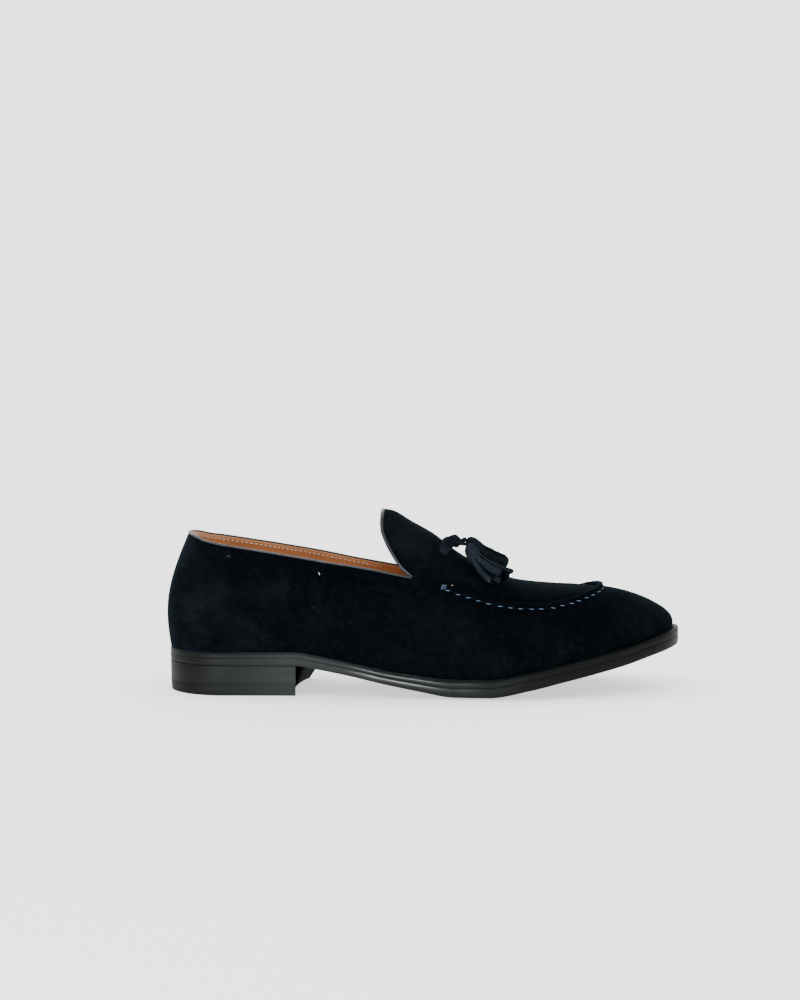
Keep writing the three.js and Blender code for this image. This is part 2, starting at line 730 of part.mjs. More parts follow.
// Tassel, hanging down its own Z from the top of its head: a round head over a flattened skirt,
// cut into strips of unlike length, with a second row of loose strips lying on it.
function tasselShape() {
  const radius = tasselHeadWidth / 2;
  const profile = [
    [0, 0], [0.55, 0.04], [0.9, 0.3], [1, 0.7], [0.86, 1], [0.66, 1.16], [0, 1.16],
  ].map(([r, z]) => new THREE.Vector2(r * radius, -z * tasselHeadLength));
  const head = new THREE.LatheGeometry(profile.reverse(), 10).rotateX(Math.PI / 2);
  const neck = -0.9 * tasselHeadLength;
  const flare = [
    { z: neck, wide: 0.8 * radius, deep: 0.7 * radius, uneven: 0 },
    { z: -0.6 * tasselLength, wide: 0.42 * tasselWidth, deep: 0.4 * tasselDepth, uneven: 0 },
    { z: -0.93 * tasselLength, wide: 0.47 * tasselWidth, deep: 0.44 * tasselDepth, uneven: 1 },
  ];
  const pitch = 2 * Math.PI / tasselStrips;
  const around = ({ z, wide, deep }, turn, out) => new THREE.Vector3(
    out * wide * Math.cos(turn), out * deep * Math.sin(turn), z,
  );
  const skirt = skin(flare.map((row) => Array.from({ length: 3 * tasselStrips }, (_, i) => {
    const k = Math.floor(i / 3);
    const turn = (k + [0, 0.14, 0.86][i % 3]) * pitch;
    const point = around(row, turn, i % 3 === 0 ? 1 - 0.3 * row.uneven : 1);
    point.z *= 1 - row.uneven * 0.03 * (k * 3 % 4);
    return point;
  })), true, true);
  let whole = solidOf(head).add(solidOf(skirt));
  for (let k = 0; k < looseStrips; k += 1) {
    const turn = (2 * k + 0.5) * pitch;
    const loops = flare.map((row, i) => {
      const middle = around(row, turn, 1);
      const next = around(row, turn + 0.1, 1);
      const along = next.sub(middle).normalize();
      const out = new THREE.Vector3(along.y, -along.x, 0);
      const half = [0.26, 0.3, 0.34][i] * pitch * (i === 0 ? radius : 0.4 * tasselWidth);
      middle.z *= 1 + (i === 2 ? 0.01 + 0.02 * (k % 3) : 0.01);
      const corner = (a, o) => middle.clone()
        .addScaledVector(along, a * half)
        .addScaledVector(out, o * stripThickness / 2);
      return [corner(-1, -1), corner(-1, 1), corner(1, 1), corner(1, -1)];
    });
    whole = whole.add(solidOf(skin(loops, true, true)));
  }
  return whole;
}

// Where the end of each tassel's skirt lies, in plan and above the vamp.
const tasselEnds = {
  tassel_outer: { side: outer, x: 195.8, y: 21, lift: 6.4 },
  tassel_inner: { side: inner, x: 202, y: 14, lift: 7.4 },
};

function tassel({ side, x, y, lift }) {
  const start = bowPath(side).at(-1);
  const end = overSurface(x, bowTurn + side * y, lift);
  const down = end.clone().sub(start).normalize();
  const level = new THREE.Vector3(0, 0, 1).cross(down).normalize();
  const top = start.clone().addScaledVector(down, fitGap + laceThickness);
  const turn = new THREE.Matrix4().makeBasis(
    level, new THREE.Vector3().crossVectors(down.clone().negate(), level), down.clone().negate(),
  );
  const geometry = geometryOf(tasselShape());
  return solidOf(geometry.applyMatrix4(turn.setPosition(top))).simplify(mergeWithin);
}

const materials = {
  suede: { color: 0x141a24, roughness: 0.95, metalness: 0 },
  binding: { color: 0x2a2d33, roughness: 0.4, metalness: 0 },
  sole: { color: 0x0d0d0e, roughness: 0.45, metalness: 0 },
  lift: { color: 0x111111, roughness: 0.7, metalness: 0 },
  lining: { color: 0xb4713c, roughness: 0.6, metalness: 0 },
};

const loafer = new THREE.Group();
loafer.position.set(-heelFan, 0, 0);

function addPiece(name, solid, finish) {
  const mesh = new THREE.Mesh(geometryOf(solid), new THREE.MeshStandardMaterial(materials[finish]));
  mesh.name = name;
  loafer.add(mesh);
}

addPiece('top_lift', heelLayer(0, () => liftThickness, 1, 0.7), 'lift');
addPiece('heel_block', heelLayer(liftThickness, (x) => soleUnder(x) - fitGap, 0.7, 0.2), 'sole');
addPiece('outsole', outsole(), 'sole');
addPiece('welt', welt(), 'sole');
addPiece('insole', insole(), 'lining');
addPiece('upper', upperShell(), 'suede');
addPiece('collar_binding', collarBinding(), 'binding');
addPiece('tongue_binding', tongueBinding(), 'binding');
laceRuns.forEach(({ name, from, to }) => {
  addPiece(`lace_outer_${name}`, laceRun(outer, from, to), 'suede');
  addPiece(`lace_inner_${name}`, laceRun(inner, from, to), 'suede');
});
addPiece('bow', bow(), 'suede');
Object.entries(tasselEnds).forEach(([name, place]) => addPiece(name, tassel(place), 'suede'));

export default loafer;
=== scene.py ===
import math
import random
from functools import lru_cache

import bmesh
import bpy
from mathutils import Matrix, Vector


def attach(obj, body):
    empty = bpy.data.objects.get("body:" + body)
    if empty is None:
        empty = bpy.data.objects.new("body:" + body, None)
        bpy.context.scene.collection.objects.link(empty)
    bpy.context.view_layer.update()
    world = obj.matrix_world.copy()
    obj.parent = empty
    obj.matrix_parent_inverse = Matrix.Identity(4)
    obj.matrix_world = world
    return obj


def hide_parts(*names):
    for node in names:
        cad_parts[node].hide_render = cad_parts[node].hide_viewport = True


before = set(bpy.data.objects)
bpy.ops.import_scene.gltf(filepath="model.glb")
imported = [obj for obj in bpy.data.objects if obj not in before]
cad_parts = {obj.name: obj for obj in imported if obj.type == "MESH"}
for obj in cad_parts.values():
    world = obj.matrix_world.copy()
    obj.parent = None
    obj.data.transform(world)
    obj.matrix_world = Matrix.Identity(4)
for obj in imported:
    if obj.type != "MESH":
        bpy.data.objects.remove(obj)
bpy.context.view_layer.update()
random.seed(7)

# Tassel loafer, right shoe. The sizes below are in millimetres from the back of the sole, with the
# outer side at -Y, and place() turns them into the row's metres.
mm = 0.001
heelMiddle = 38  # the row's origin lies under the middle of the heel
outer, inner = -1, 1
weld = 2e-6  # corners nearer than this become one, in metres


def place(point):
    return Vector((point[0] - heelMiddle, point[1], point[2])) * mm


camera = {
    "distance": 1.5,
    "height": 0.255,
    "along": 0.0994,
    "pitch": 5.42,  # degrees down
    "lens": 113.6,
}
studio = {
    "world": (1.0, 1.0, 1.0),
    "worldStrength": 1.0,
    "paper": (0.80, 0.80, 0.80),
    "paperGlow": 1.5,  # painted light: the paper glows, which keeps the shadow on it faint
    "paperShade": 0.62,  # how much of the glow is kept under the shoe, where the lower glow paints a shadow
    "paperBack": 1.6,  # where the paper starts to rise behind the shoe
    "paperRise": 1.1,
    "top": {"at": (0.1, -0.35, 1.35), "size": (1.5, 0.9), "power": 5},
    "side": {"at": (-1.3, -1.0, 0.7), "size": (0.7, 0.9), "power": 3},
    "front": {"at": (1.4, -0.9, 0.6), "size": (0.6, 0.8), "power": 3},
    "low": {"at": (-0.44, -1.3, 0.06), "size": (0.12, 0.08), "power": 22},
    "aim": (0.1, 0, 0.04),
}


def aimedAt(location, target):
    return (Vector(target) - Vector(location)).to_track_quat("-Z", "Y").to_euler()


def buildStudio():
    cam = bpy.data.objects.new("camera", bpy.data.cameras.new("camera"))
    bpy.context.collection.objects.link(cam)
    cam.location = (camera["along"], -camera["distance"], camera["height"])
    cam.rotation_euler = (math.radians(90 - camera["pitch"]), 0, 0)
    cam.data.sensor_fit = "HORIZONTAL"
    cam.data.sensor_width = 36
    cam.data.lens = camera["lens"]
    bpy.context.scene.camera = cam

    world = bpy.data.worlds.new("studio")
    world.use_nodes = True
    sky = world.node_tree.nodes["Background"]
    sky.inputs["Color"].default_value = (*studio["world"], 1)
    sky.inputs["Strength"].default_value = studio["worldStrength"]
    bpy.context.scene.world = world

    for name in ("top", "side", "front", "low"):
        lamp = studio[name]
        light = bpy.data.lights.new(name, "AREA")
        light.shape = "RECTANGLE"
        light.size, light.size_y = lamp["size"]
        light.energy = lamp["power"]
        obj = bpy.data.objects.new(name, light)
        obj.location = lamp["at"]
        obj.rotation_euler = aimedAt(lamp["at"], studio["aim"])
        bpy.context.collection.objects.link(obj)

    bm = bmesh.new()
    bmesh.ops.create_grid(bm, x_segments=1, y_segments=80, size=6)
    back, rise = studio["paperBack"], studio["paperRise"]
    for v in bm.verts:
        over = v.co.y - back
        if over > 0:
            turn = min(over / rise, math.pi / 2)
            v.co.y = back + rise * math.sin(turn)
            v.co.z = rise * (1 - math.cos(turn)) + max(0, over - rise * math.pi / 2)
    paper = meshObject(bm, "paper")
    paper.data.materials.append(paperMaterial("studioPaper"))


def meshObject(bm, name, smooth=True):
    mesh = bpy.data.meshes.new(name)
    bm.to_mesh(mesh)
    bm.free()
    obj = bpy.data.objects.new(name, mesh)
    bpy.context.collection.objects.link(obj)
    if smooth:
        mesh.shade_smooth()
    return obj


def makePiece(bm, name, look, slot, *nodes, smooth=True):
    # a piece of the shoe: mesh, finish, body, and the CAD nodes that it stands for; the slot is not
    # used
    obj = meshObject(bm, name, smooth)
    obj.data.materials.append(finish[look])
    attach(obj, "root")
    if nodes:
        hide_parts(*nodes)
    return obj


def addGrid(bm, across, along, shape, mapped=False):
    # a grid whose corners are carried onto the surface shape(u, v), with u and v as its UV
    made = bmesh.ops.create_grid(bm, x_segments=across, y_segments=along, size=0.5)
    corners = {v: (v.co.x + 0.5, v.co.y + 0.5) for v in made["verts"]}
    if mapped:
        layer = bm.loops.layers.uv.verify()
        for face in {f for v in made["verts"] for f in v.link_faces}:
            for loop in face.loops:
                loop[layer].uv = corners[loop.vert]
    for v, (u, w) in corners.items():
        v.co = place(shape(u, w))
    return made["verts"]


def addBead(bm, spot, turn, size, bend=0.0, segments=8, rings=6):
    # a small oval for a stitch, a tack or a bit of lint
    made = bmesh.ops.create_uvsphere(bm, u_segments=segments, v_segments=rings, radius=0.5)
    for v in made["verts"]:
        x, y, z = v.co
        shaped = Vector((x * size[0], y * size[1], z * size[2] + bend * x ** 2))
        v.co = place(spot + turn @ shaped)


def makeBeads(bm, name, look, slot):
    bmesh.ops.recalc_face_normals(bm, faces=bm.faces)
    return makePiece(bm, name, look, slot)


def closeUp(bm, within=weld):
    bmesh.ops.remove_doubles(bm, verts=bm.verts, dist=within)
    bmesh.ops.dissolve_degenerate(bm, edges=bm.edges, dist=within / 2)
    bmesh.ops.recalc_face_normals(bm, faces=bm.faces)


def spread(start, end, steps):
    return [start + (end - start) * i / steps for i in range(steps + 1)]


def paced(points, pitch):
    # which points of a run lie one pitch apart
    travelled, chosen = 0.0, []
    for i in range(1, len(points)):
        travelled += (points[i] - points[i - 1]).length
        if travelled >= pitch:
            travelled = 0.0
            chosen.append(i)
    return chosen


def mix(a, b, t):
    return a + (b - a) * t


def clamp(value, low=0.0, high=1.0):
    return max(low, min(high, value))


def eased(t):
    t = clamp(t)
    return t * t * (3 - 2 * t)


def midway(values, t):
    # the value at a share t of the way through a list
    at = min(t * (len(values) - 1), len(values) - 1.001)
    return mix(values[int(at)], values[int(at) + 1], at - int(at))


def table(columns, *rows):
    return [dict(zip(columns, row)) for row in rows]


def curveOf(rows, column):
    # smooth curve through the rows of a table, without overshoot between them
    x = [row["at"] for row in rows]
    y = [row[column] for row in rows]
    spans = len(x) - 1
    step = [x[i + 1] - x[i] for i in range(spans)]
    rise = [(y[i + 1] - y[i]) / step[i] for i in range(spans)]
    slope = [rise[0]]
    for i in range(1, spans):
        if rise[i - 1] * rise[i] <= 0:
            slope.append(0)
        else:
            slope.append((step[i - 1] + step[i]) / (step[i - 1] / rise[i - 1] + step[i] / rise[i]))
    slope.append(rise[-1])

    def value(at):
        t = clamp(at, x[0], x[-1])
        i = 0
        while i < spans - 1 and t > x[i + 1]:
            i += 1
        u = (t - x[i]) / step[i]
        return (
            (1 + 2 * u) * (1 - u) ** 2 * y[i]
            + u * (1 - u) ** 2 * step[i] * slope[i]
            + u * u * (3 - 2 * u) * y[i + 1]
            + u * u * (u - 1) * step[i] * slope[i + 1]
        )

    return value


last = {
    "length": 305,
    "ballWidth": 102,
    "waistWidth": 67,
    "heelWidth": 65,
    "heelRounding": 33,
    "toeRounding": 92,
    "toeInset": 9,
    "toeFullness": 2.15,
    "heelFan": 38,
    "toeFan": 240,
    "bellySwell": 3,
    "coneHeight": 132,
    "tongueHeight": 107.6,
    "vampHeight": 62,
    "toeHeight": 61,
    "wall": 2.2,
}
sole = {
    "heelHeight": 17.6,
    "lift": 6.6,
    "toeSpring": 25.2,
    "outsole": 7.2,
    "crown": 1.3,
    "crownWidth": 12,
    "bevel": 0.8,
    "welt": 3.9,
    "ledge": 3.8,
    "weltSeat": 9,
    "breastAt": 76,
    "breastSlant": 17.5,
    "breastHollow": 4,
    "breastLean": 11.5,
    "seatEase": 9.2,
    "gap": 0.3,
    "footGap": 0.45,
}
ball, waist, heel = last["ballWidth"], last["waistWidth"], last["heelWidth"]
tall, cone, vamp, toe = (
    last["tongueHeight"], last["coneHeight"], last["vampHeight"], last["toeHeight"],
)
breastShare = sole["breastAt"] / last["length"]
seatEnd = (sole["breastAt"] + sole["seatEase"]) / last["length"]
soleColumns = ("at", "width", "outer", "under", "thick", "crown", "welt", "ledge")
soleRows = table(
    soleColumns,
    (0, 0.97 * heel, 0.5, 1, 0.62, 0, 0.72, 0.06),
    (0.12, heel, 0.5, 1, 0.62, 0, 0.72, 0.4),
    (breastShare, 0.995 * heel, 0.51, 1, 0.62, 0, 0.72, 0.57),
    (seatEnd, 0.99 * heel, 0.515, 0.92, 0.61, 0, 0.72, 0.6),
    (0.34, 0.955 * waist, 0.555, 0.735, 0.58, 0, 0.73, 0.7),
    (0.41, 1.03 * waist, 0.57, 0.48, 0.58, 0, 0.76, 0.85),
    (0.49, 0.78 * ball, 0.555, 0.21, 0.72, 0.3, 0.88, 1),
    (0.555, 0.88 * ball, 0.53, 0, 0.97, 1, 1, 1),
    (0.62, 0.965 * ball, 0.505, 0, 1, 1, 1, 1),
    (0.7, ball, 0.485, 0, 1, 1, 1, 1),
    (0.76, 0.995 * ball, 0.465, 0, 0.98, 1, 1, 1),
    (0.88, 0.95 * ball, 0.42, 0, 0.98, 1, 1, 1),
    (0.94, 0.92 * ball, 0.41, 0, 0.98, 1, 1, 1),
    (1, 0.9 * ball, 0.41, 0, 0.95, 0.8, 1, 1),
)
# the underside rises to the heel's height behind the ball and by the toe spring in front of it
for row in soleRows:
    row["under"] *= sole["heelHeight"]
for row, spring in zip(soleRows[-5:], (0.17, 0.335, 0.64, 0.83, 1)):
    row["under"] = spring * sole["toeSpring"]
soleCurve = {name: curveOf(soleRows, name) for name in soleColumns[1:]}

upperColumns = ("at", "ridge", "shift", "outer", "inner", "swell")
upperRows = table(
    upperColumns,
    (0, cone, 0, 2, 2, 1),
    (0.06, cone, 0, 2.3, 2.3, 1),
    (0.125, cone, 0, 3, 3, 1),
    (0.3, cone, 0, 3.4, 3.4, 1),
    (0.365, 1.03 * tall, 0.015 * ball, 2.75, 2.9, 1),
    (0.41, tall, 0.02 * ball, 2.3, 2.4, 0.9),
    (0.434, 0.991 * tall, 0.022 * ball, 2.22, 2.35, 0.8),
    (0.474, 0.927 * tall, 0.025 * ball, 2.15, 2.3, 0.7),
    (0.515, 0.86 * tall, 0.03 * ball, 2.12, 2.3, 0.7),
    (0.564, 0.754 * tall, 0.035 * ball, 2.15, 2.32, 0.7),
    (0.62, 1.145 * vamp, 0.045 * ball, 2.22, 2.4, 0.7),
    (0.685, 1.03 * vamp, 0.06 * ball, 2.35, 2.55, 0.7),
    (0.75, 0.992 * vamp, 0.075 * ball, 2.4, 2.7, 0.7),
    (last["toeFan"] / last["length"], toe, 0.08 * ball, 2.4, 2.65, 0.7),
    (0.87, toe, 0.08 * ball, 2.25, 2.35, 0.6),
    (1, toe, 0.08 * ball, 2.1, 2.1, 0.4),
)
upperCurve = {name: curveOf(upperRows, name) for name in upperColumns[1:]}
heelStations, toeStations = 0.16, 0.3


def share(x):
    return x / last["length"]


def bothSides(stations):
    # along the outer side, round the end and back along the inner side
    return [(s, outer) for s in stations] + [(s, inner) for s in stations[-2::-1]]


@lru_cache(None)
def stationX(station):
    length, heelTurn, toeTurn = last["length"], last["heelRounding"], last["toeRounding"]
    if station < heelStations:
        return heelTurn * (1 - math.cos(math.pi / 2 * station / heelStations))
    if station > 1 - toeStations:
        return length - toeTurn * (1 - math.cos(math.pi / 2 * (1 - station) / toeStations))
    run = (station - heelStations) / (1 - heelStations - toeStations)
    return heelTurn + run * (length - toeTurn - heelTurn)


def stationAt(x):
    length, heelTurn, toeTurn = last["length"], last["heelRounding"], last["toeRounding"]
    if x < heelTurn:
        return heelStations * math.acos(min(1, 1 - x / heelTurn)) / (math.pi / 2)
    if length - x < toeTurn:
        return 1 - toeStations * math.acos(min(1, 1 - (length - x) / toeTurn)) / (math.pi / 2)
    run = (x - heelTurn) / (length - toeTurn - heelTurn)
    return heelStations + run * (1 - heelStations - toeStations)


@lru_cache(None)
def outlinePoint(station, side):
    if station < 0:
        return outlinePoint(-station, -side)
    if station > 1:
        return outlinePoint(2 - station, -side)
    x = stationX(station)
    outerShare = soleCurve["outer"](share(x))
    edge = side * soleCurve["width"](share(x)) * (outerShare if side == outer else 1 - outerShare)
    heelTurn = max(0, 1 - x / last["heelRounding"])
    toeTurn = max(0, 1 - (last["length"] - x) / last["toeRounding"])
    centre = last["toeInset"] * toeTurn
    heelRound = math.sqrt(max(0, 1 - heelTurn ** 2))
    toeRound = max(0, 1 - toeTurn ** last["toeFullness"]) ** (1 / last["toeFullness"])
    return Vector((x, centre + (edge - centre) * heelRound * toeRound))


@lru_cache(None)
def insetPoint(station, side, inset):
    reach = 0.004
    along = (outlinePoint(station + reach, side) - outlinePoint(station - reach, side)).normalized()
    return outlinePoint(station, side) + Vector((along.y, -along.x)) * side * inset


def soleUnder(x):
    return soleCurve["under"](share(x))


def outsoleTop(x):
    return soleUnder(x) + sole["outsole"] * soleCurve["thick"](share(x))


def treadEdge(x):
    return soleUnder(x) + sole["crown"] * soleCurve["crown"](share(x))


def weltUnder(x):
    return outsoleTop(x) + sole["gap"]


def weltTop(x):
    return weltUnder(x) + sole["welt"] * soleCurve["welt"](share(x))


def upperFoot(x):
    return weltTop(x) + sole["footGap"]


def ledge(station):
    return sole["ledge"] * soleCurve["ledge"](share(stationX(station)))


@lru_cache(None)
def ribFrame(station, side, grow):
    # foot and top of a rib of the upper, which climbs from the welt to the ridge of the last
    x = stationX(station)
    at = share(clamp(x, last["heelFan"], last["toeFan"]))
    spine = Vector((at * last["length"], upperCurve["shift"](at), upperCurve["ridge"](at) + grow))
    foot = insetPoint(station, side, ledge(station) - grow)
    fullness = upperCurve["outer" if side == outer else "inner"](share(x))
    swell = last["bellySwell"] * upperCurve["swell"](share(x))
    return spine, foot, fullness, swell, upperFoot(foot.x)


def ribPoint(station, side, angle, grow=0.0):
    spine, foot, fullness, swell, bottom = ribFrame(station, side, round(grow, 2))
    reach = math.hypot(foot.x - spine.x, foot.y - spine.y)
    rise = math.sin(angle) ** (2 / fullness)
    run = max(0, math.cos(angle)) ** (2 / fullness)
    across = run + swell * math.sin(2 * math.pi * rise) / reach
    return Vector((
        spine.x + (foot.x - spine.x) * across,
        spine.y + (foot.y - spine.y) * across,
        bottom + (spine.z - bottom) * rise,
    ))


def angleWhere(station, side, test, grow=0.0):
    # the highest angle of a rib at which the test still holds
    low, high, halvings = 0.0, math.pi / 2, 22
    for _ in range(halvings):
        half = (low + high) / 2
        if test(ribPoint(station, side, half, grow)):
            low = half
        else:
            high = half
    return low


def angleAt(station, side, height, grow=0.0):
    return angleWhere(station, side, lambda p: p.z < height, grow)


# collar and tongue, seen from the side
collar = {
    "back": 94.4,
    "throat": 70.2,
    "throatAt": 143.5,
    "tongueAt": 125.4,
    "bead": 2.6,
}
collarFall = collar["back"] - collar["throat"]
collarRows = table(
    ("at", "height"),
    (-0.1, collar["back"] + 0.028 * last["length"]),
    (0.04, collar["back"]),
    (0.08, collar["back"] - 0.155 * collarFall),
    (0.21, collar["back"] - 0.42 * collarFall),
    (0.38, collar["back"] - 0.785 * collarFall),
    (share(collar["throatAt"]), collar["throat"]),
)
# how far back the tongue's edge leans on its way up
tongueRows = table(
    ("at", "back"),
    (0, 0), (0.12, 0.31), (0.29, 0.57), (0.53, 0.85), (0.71, 0.985), (0.82, 1), (1, 0.95),
)
collarCurve = curveOf(collarRows, "height")
tongueCurve = curveOf(tongueRows, "back")


def collarHeight(x):
    return collarCurve(share(x))


def tongueEdge(z):
    rise = (z - collar["throat"]) / (last["tongueHeight"] - collar["throat"])
    return collar["throatAt"] - (collar["throatAt"] - collar["tongueAt"]) * tongueCurve(rise)


@lru_cache(None)
def throatAngle(side, grow=0.0):
    return angleAt(stationAt(collar["throatAt"]), side, collar["throat"], grow)


def collarAngle(station, side, below, grow=0.0):
    return angleWhere(station, side, lambda p: p.z < collarHeight(p.x) - below, grow)


def tonguePoint(side, angle, inset, grow=0.0):
    x = collar["throatAt"]
    point = ribPoint(stationAt(x), side, angle, grow)
    for _ in range(12):
        x += tongueEdge(point.z) + inset - point.x
        point = ribPoint(stationAt(x), side, angle, grow)
    return point, x


@lru_cache(None)
def tongueShift(side, angle, inset, grow):
    # how far behind the throat the tongue's edge lies on a row of the wall
    start = tonguePoint(side, throatAngle(side), 0, grow)[1]
    return tonguePoint(side, angle, inset, grow)[1] - start


def overSurface(x, y, lift=0.0):
    station = stationAt(x)
    ridge = upperCurve["shift"](share(x))
    side = outer if y < ridge else inner
    angle = angleWhere(station, side, lambda p: abs(p.y - ridge) > abs(y - ridge))
    return ribPoint(station, side, angle) + Vector((0, 0, lift))


def surfaceNormal(x, y):
    reach = 0.6
    alongX = overSurface(x + reach, y).z - overSurface(x - reach, y).z
    acrossY = overSurface(x, y + reach).z - overSurface(x, y - reach).z
    return Vector((-alongX / (2 * reach), -acrossY / (2 * reach), 1)).normalized()


class Shader:
    # a new material with short ways to add nodes to it
    def __init__(self, name, numbers=None):
        self.material = bpy.data.materials.new(name)
        self.material.use_nodes = True
        self.tree = self.material.node_tree
        self.surface = self.tree.nodes["Principled BSDF"]
        self.coords = self.tree.nodes.new("ShaderNodeTexCoord")
        for key, number in (numbers or {}).items():
            self.surface.inputs[key].default_value = number

    def link(self, source, target):
        self.tree.links.new(source, target)

    def feed(self, socket, value):
        # sets an input to a number, vector or colour, or links it to an output
        if isinstance(value, (int, float)):
            socket.default_value = value
        elif isinstance(value, tuple):
            socket.default_value = (*value, 1) if socket.type == "RGBA" else value
        else:
            self.link(value, socket)

    def add(self, kind, sockets, **settings):
        node = self.tree.nodes.new("ShaderNode" + kind)
        for key, value in settings.items():
            setattr(node, key, value)
        for key, value in sockets.items():
            self.feed(node.inputs[key], value)
        return node

    def here(self, stretch=(1, 1, 1), offset=(0, 0, 0)):
        sockets = {"Vector": self.coords.outputs["Object"], "Scale": stretch, "Location": offset}
        return self.add("Mapping", sockets).outputs["Vector"]

    def noise(self, scale, detail=4, rough=0.5, stretch=(1, 1, 1)):
        numbers = {"Scale": scale, "Detail": detail, "Roughness": rough}
        return self.add("TexNoise", {"Vector": self.here(stretch), **numbers}).outputs["Fac"]

    def pores(self, scale, width):
        # 0 in the lines between the cells of a smooth leather's grain, 1 on the cells
        sockets = {"Vector": self.coords.outputs["Object"], "Scale": scale}
        cells = self.add("TexVoronoi", sockets, feature="DISTANCE_TO_EDGE")
        return self.grey(cells.outputs["Distance"], 0, 1, 0, width)

    def part(self, axis, kind="Object"):
        return self.add("SeparateXYZ", {"Vector": self.coords.outputs[kind]}).outputs[axis]

    def ramp(self, source, stops):
        node = self.add("ValToRGB", {"Fac": source})
        elements = node.color_ramp.elements
        while len(elements) < len(stops):
            elements.new(0.5)
        for element, (at, colour) in zip(elements, stops):
            element.position = at
            element.color = (*colour, 1)
        return node.outputs["Color"]

    def grey(self, source, low, high, fromLow=0.3, fromHigh=0.7, **settings):
        ends = {"From Min": fromLow, "From Max": fromHigh, "To Min": low, "To Max": high}
        return self.add("MapRange", {"Value": source, **ends}, **settings).outputs["Result"]

    def blend(self, factor, a, b, mode="MIX"):
        node = self.add("Mix", {}, data_type="RGBA", blend_type=mode)
        for socket, value in zip([s for s in node.inputs if s.enabled], (factor, a, b)):
            self.feed(socket, value)
        return [s for s in node.outputs if s.enabled][0]

    def maths(self, kind, a, b):
        return self.add("Math", {0: a, 1: b}, operation=kind).outputs["Value"]

    def near(self, centre, radius):
        # 1 at a point of the shoe, fading to 0 at the radius
        ends = {0: self.coords.outputs["Object"], 1: tuple(place(centre))}
        away = self.add("VectorMath", ends, operation="DISTANCE").outputs["Value"]
        return self.grey(away, 1, 0, 0, radius * mm, interpolation_type="SMOOTHSTEP")

    def along(self, stops):
        # a colour that changes along the shoe: stops of (x, colour)
        back, front = -heelMiddle * mm, (last["length"] - heelMiddle) * mm
        run = self.grey(self.part("X"), 0, 1, back, front)
        return self.ramp(run, [(share(x), colour) for x, colour in stops])

    def shaded(self, colour, source, *stops):
        # the colour made darker and lighter by a noise: stops of (noise, factor)
        factors = self.ramp(source, [(at, (factor,) * 3) for at, factor in stops])
        return self.blend(1.0, colour, factors, "MULTIPLY")

    def bump(self, height, strength, distance, onto=None):
        sockets = {"Height": height, "Strength": strength, "Distance": distance}
        if onto:
            sockets["Normal"] = onto
        return self.add("Bump", sockets).outputs["Normal"]

    def done(self, colour, roughness=None, normal=None):
        for key, source in (("Base Color", colour), ("Roughness", roughness), ("Normal", normal)):
            if source is not None:
                self.link(source, self.surface.inputs[key])
        return self.material


def paperMaterial(name):
    s = Shader(name, {"Roughness": 0.9, "Specular IOR Level": 0.1, "Emission Color": (1, 1, 1, 1)})
    # painted shadow: an oval under the shoe glows less, so the floor is darker there and the
    # contact shadow stays
    middle, halfLength, halfWidth = 0.114, 0.165, 0.062
    oval = s.here((1 / halfLength, 1 / halfWidth, 0), (-middle / halfLength, 0, 0))
    away = s.add("VectorMath", {0: oval}, operation="LENGTH").outputs["Value"]
    glow = studio["paperGlow"]
    glowWithPaintedShadow = s.grey(away, studio["paperShade"] * glow, glow, 0.7, 1.2)
    s.link(glowWithPaintedShadow, s.surface.inputs["Emission Strength"])
    low = tuple(0.985 * c for c in studio["paper"])
    return s.done(s.ramp(s.noise(900, 3), [(0.35, low), (0.65, studio["paper"])]))


suede = {
    "tones": ("deep", "mid", "light", "teal", "plum", "fleck"),
    "deep": (0.0005, 0.0011, 0.0022),
    "mid": (0.0018, 0.0026, 0.0042),
    "light": (0.0070, 0.0094, 0.0124),
    "teal": (0.0014, 0.0039, 0.0050),
    "plum": (0.0030, 0.0026, 0.0052),
    "fleck": (0.035, 0.042, 0.048),
    "sheen": 0.05,
    "sheenRoughness": 0.3,
    "sheenTint": (0.16, 0.42, 0.6),
    # scales of the noises, coarse to fine
    "clouds": 11,
    "plumClouds": 19,
    "strokes": 34,  # where the nap lies one way or the other
    "tufts": 210,
    "flecks": 430,
    "pile": 620,
    "fibres": 2100,
    # where the suede looks lighter, partly brushed-up nap and partly painted highlight, as along
    # the back edge and on the tongue: centre, radius, share of the light tone
    "napAndHighlight": (
        ((10, -16, 84), 26, 0.5), ((16, -26, 44), 30, 0.55), ((44, -32, 38), 26, 0.3),
        ((140, -10, 98), 40, 1.2), ((176, -12, 80), 32, 0.6), ((165, -40, 44), 22, 0.3),
        ((272, -24, 46), 30, 0.2), ((30, -30, 70), 26, 0.25), ((66, -36, 60), 26, 0.2),
        ((18, 28, 46), 34, 0.4), ((140, 22, 92), 30, 0.5), ((250, 36, 44), 34, 0.35),
    ),
}


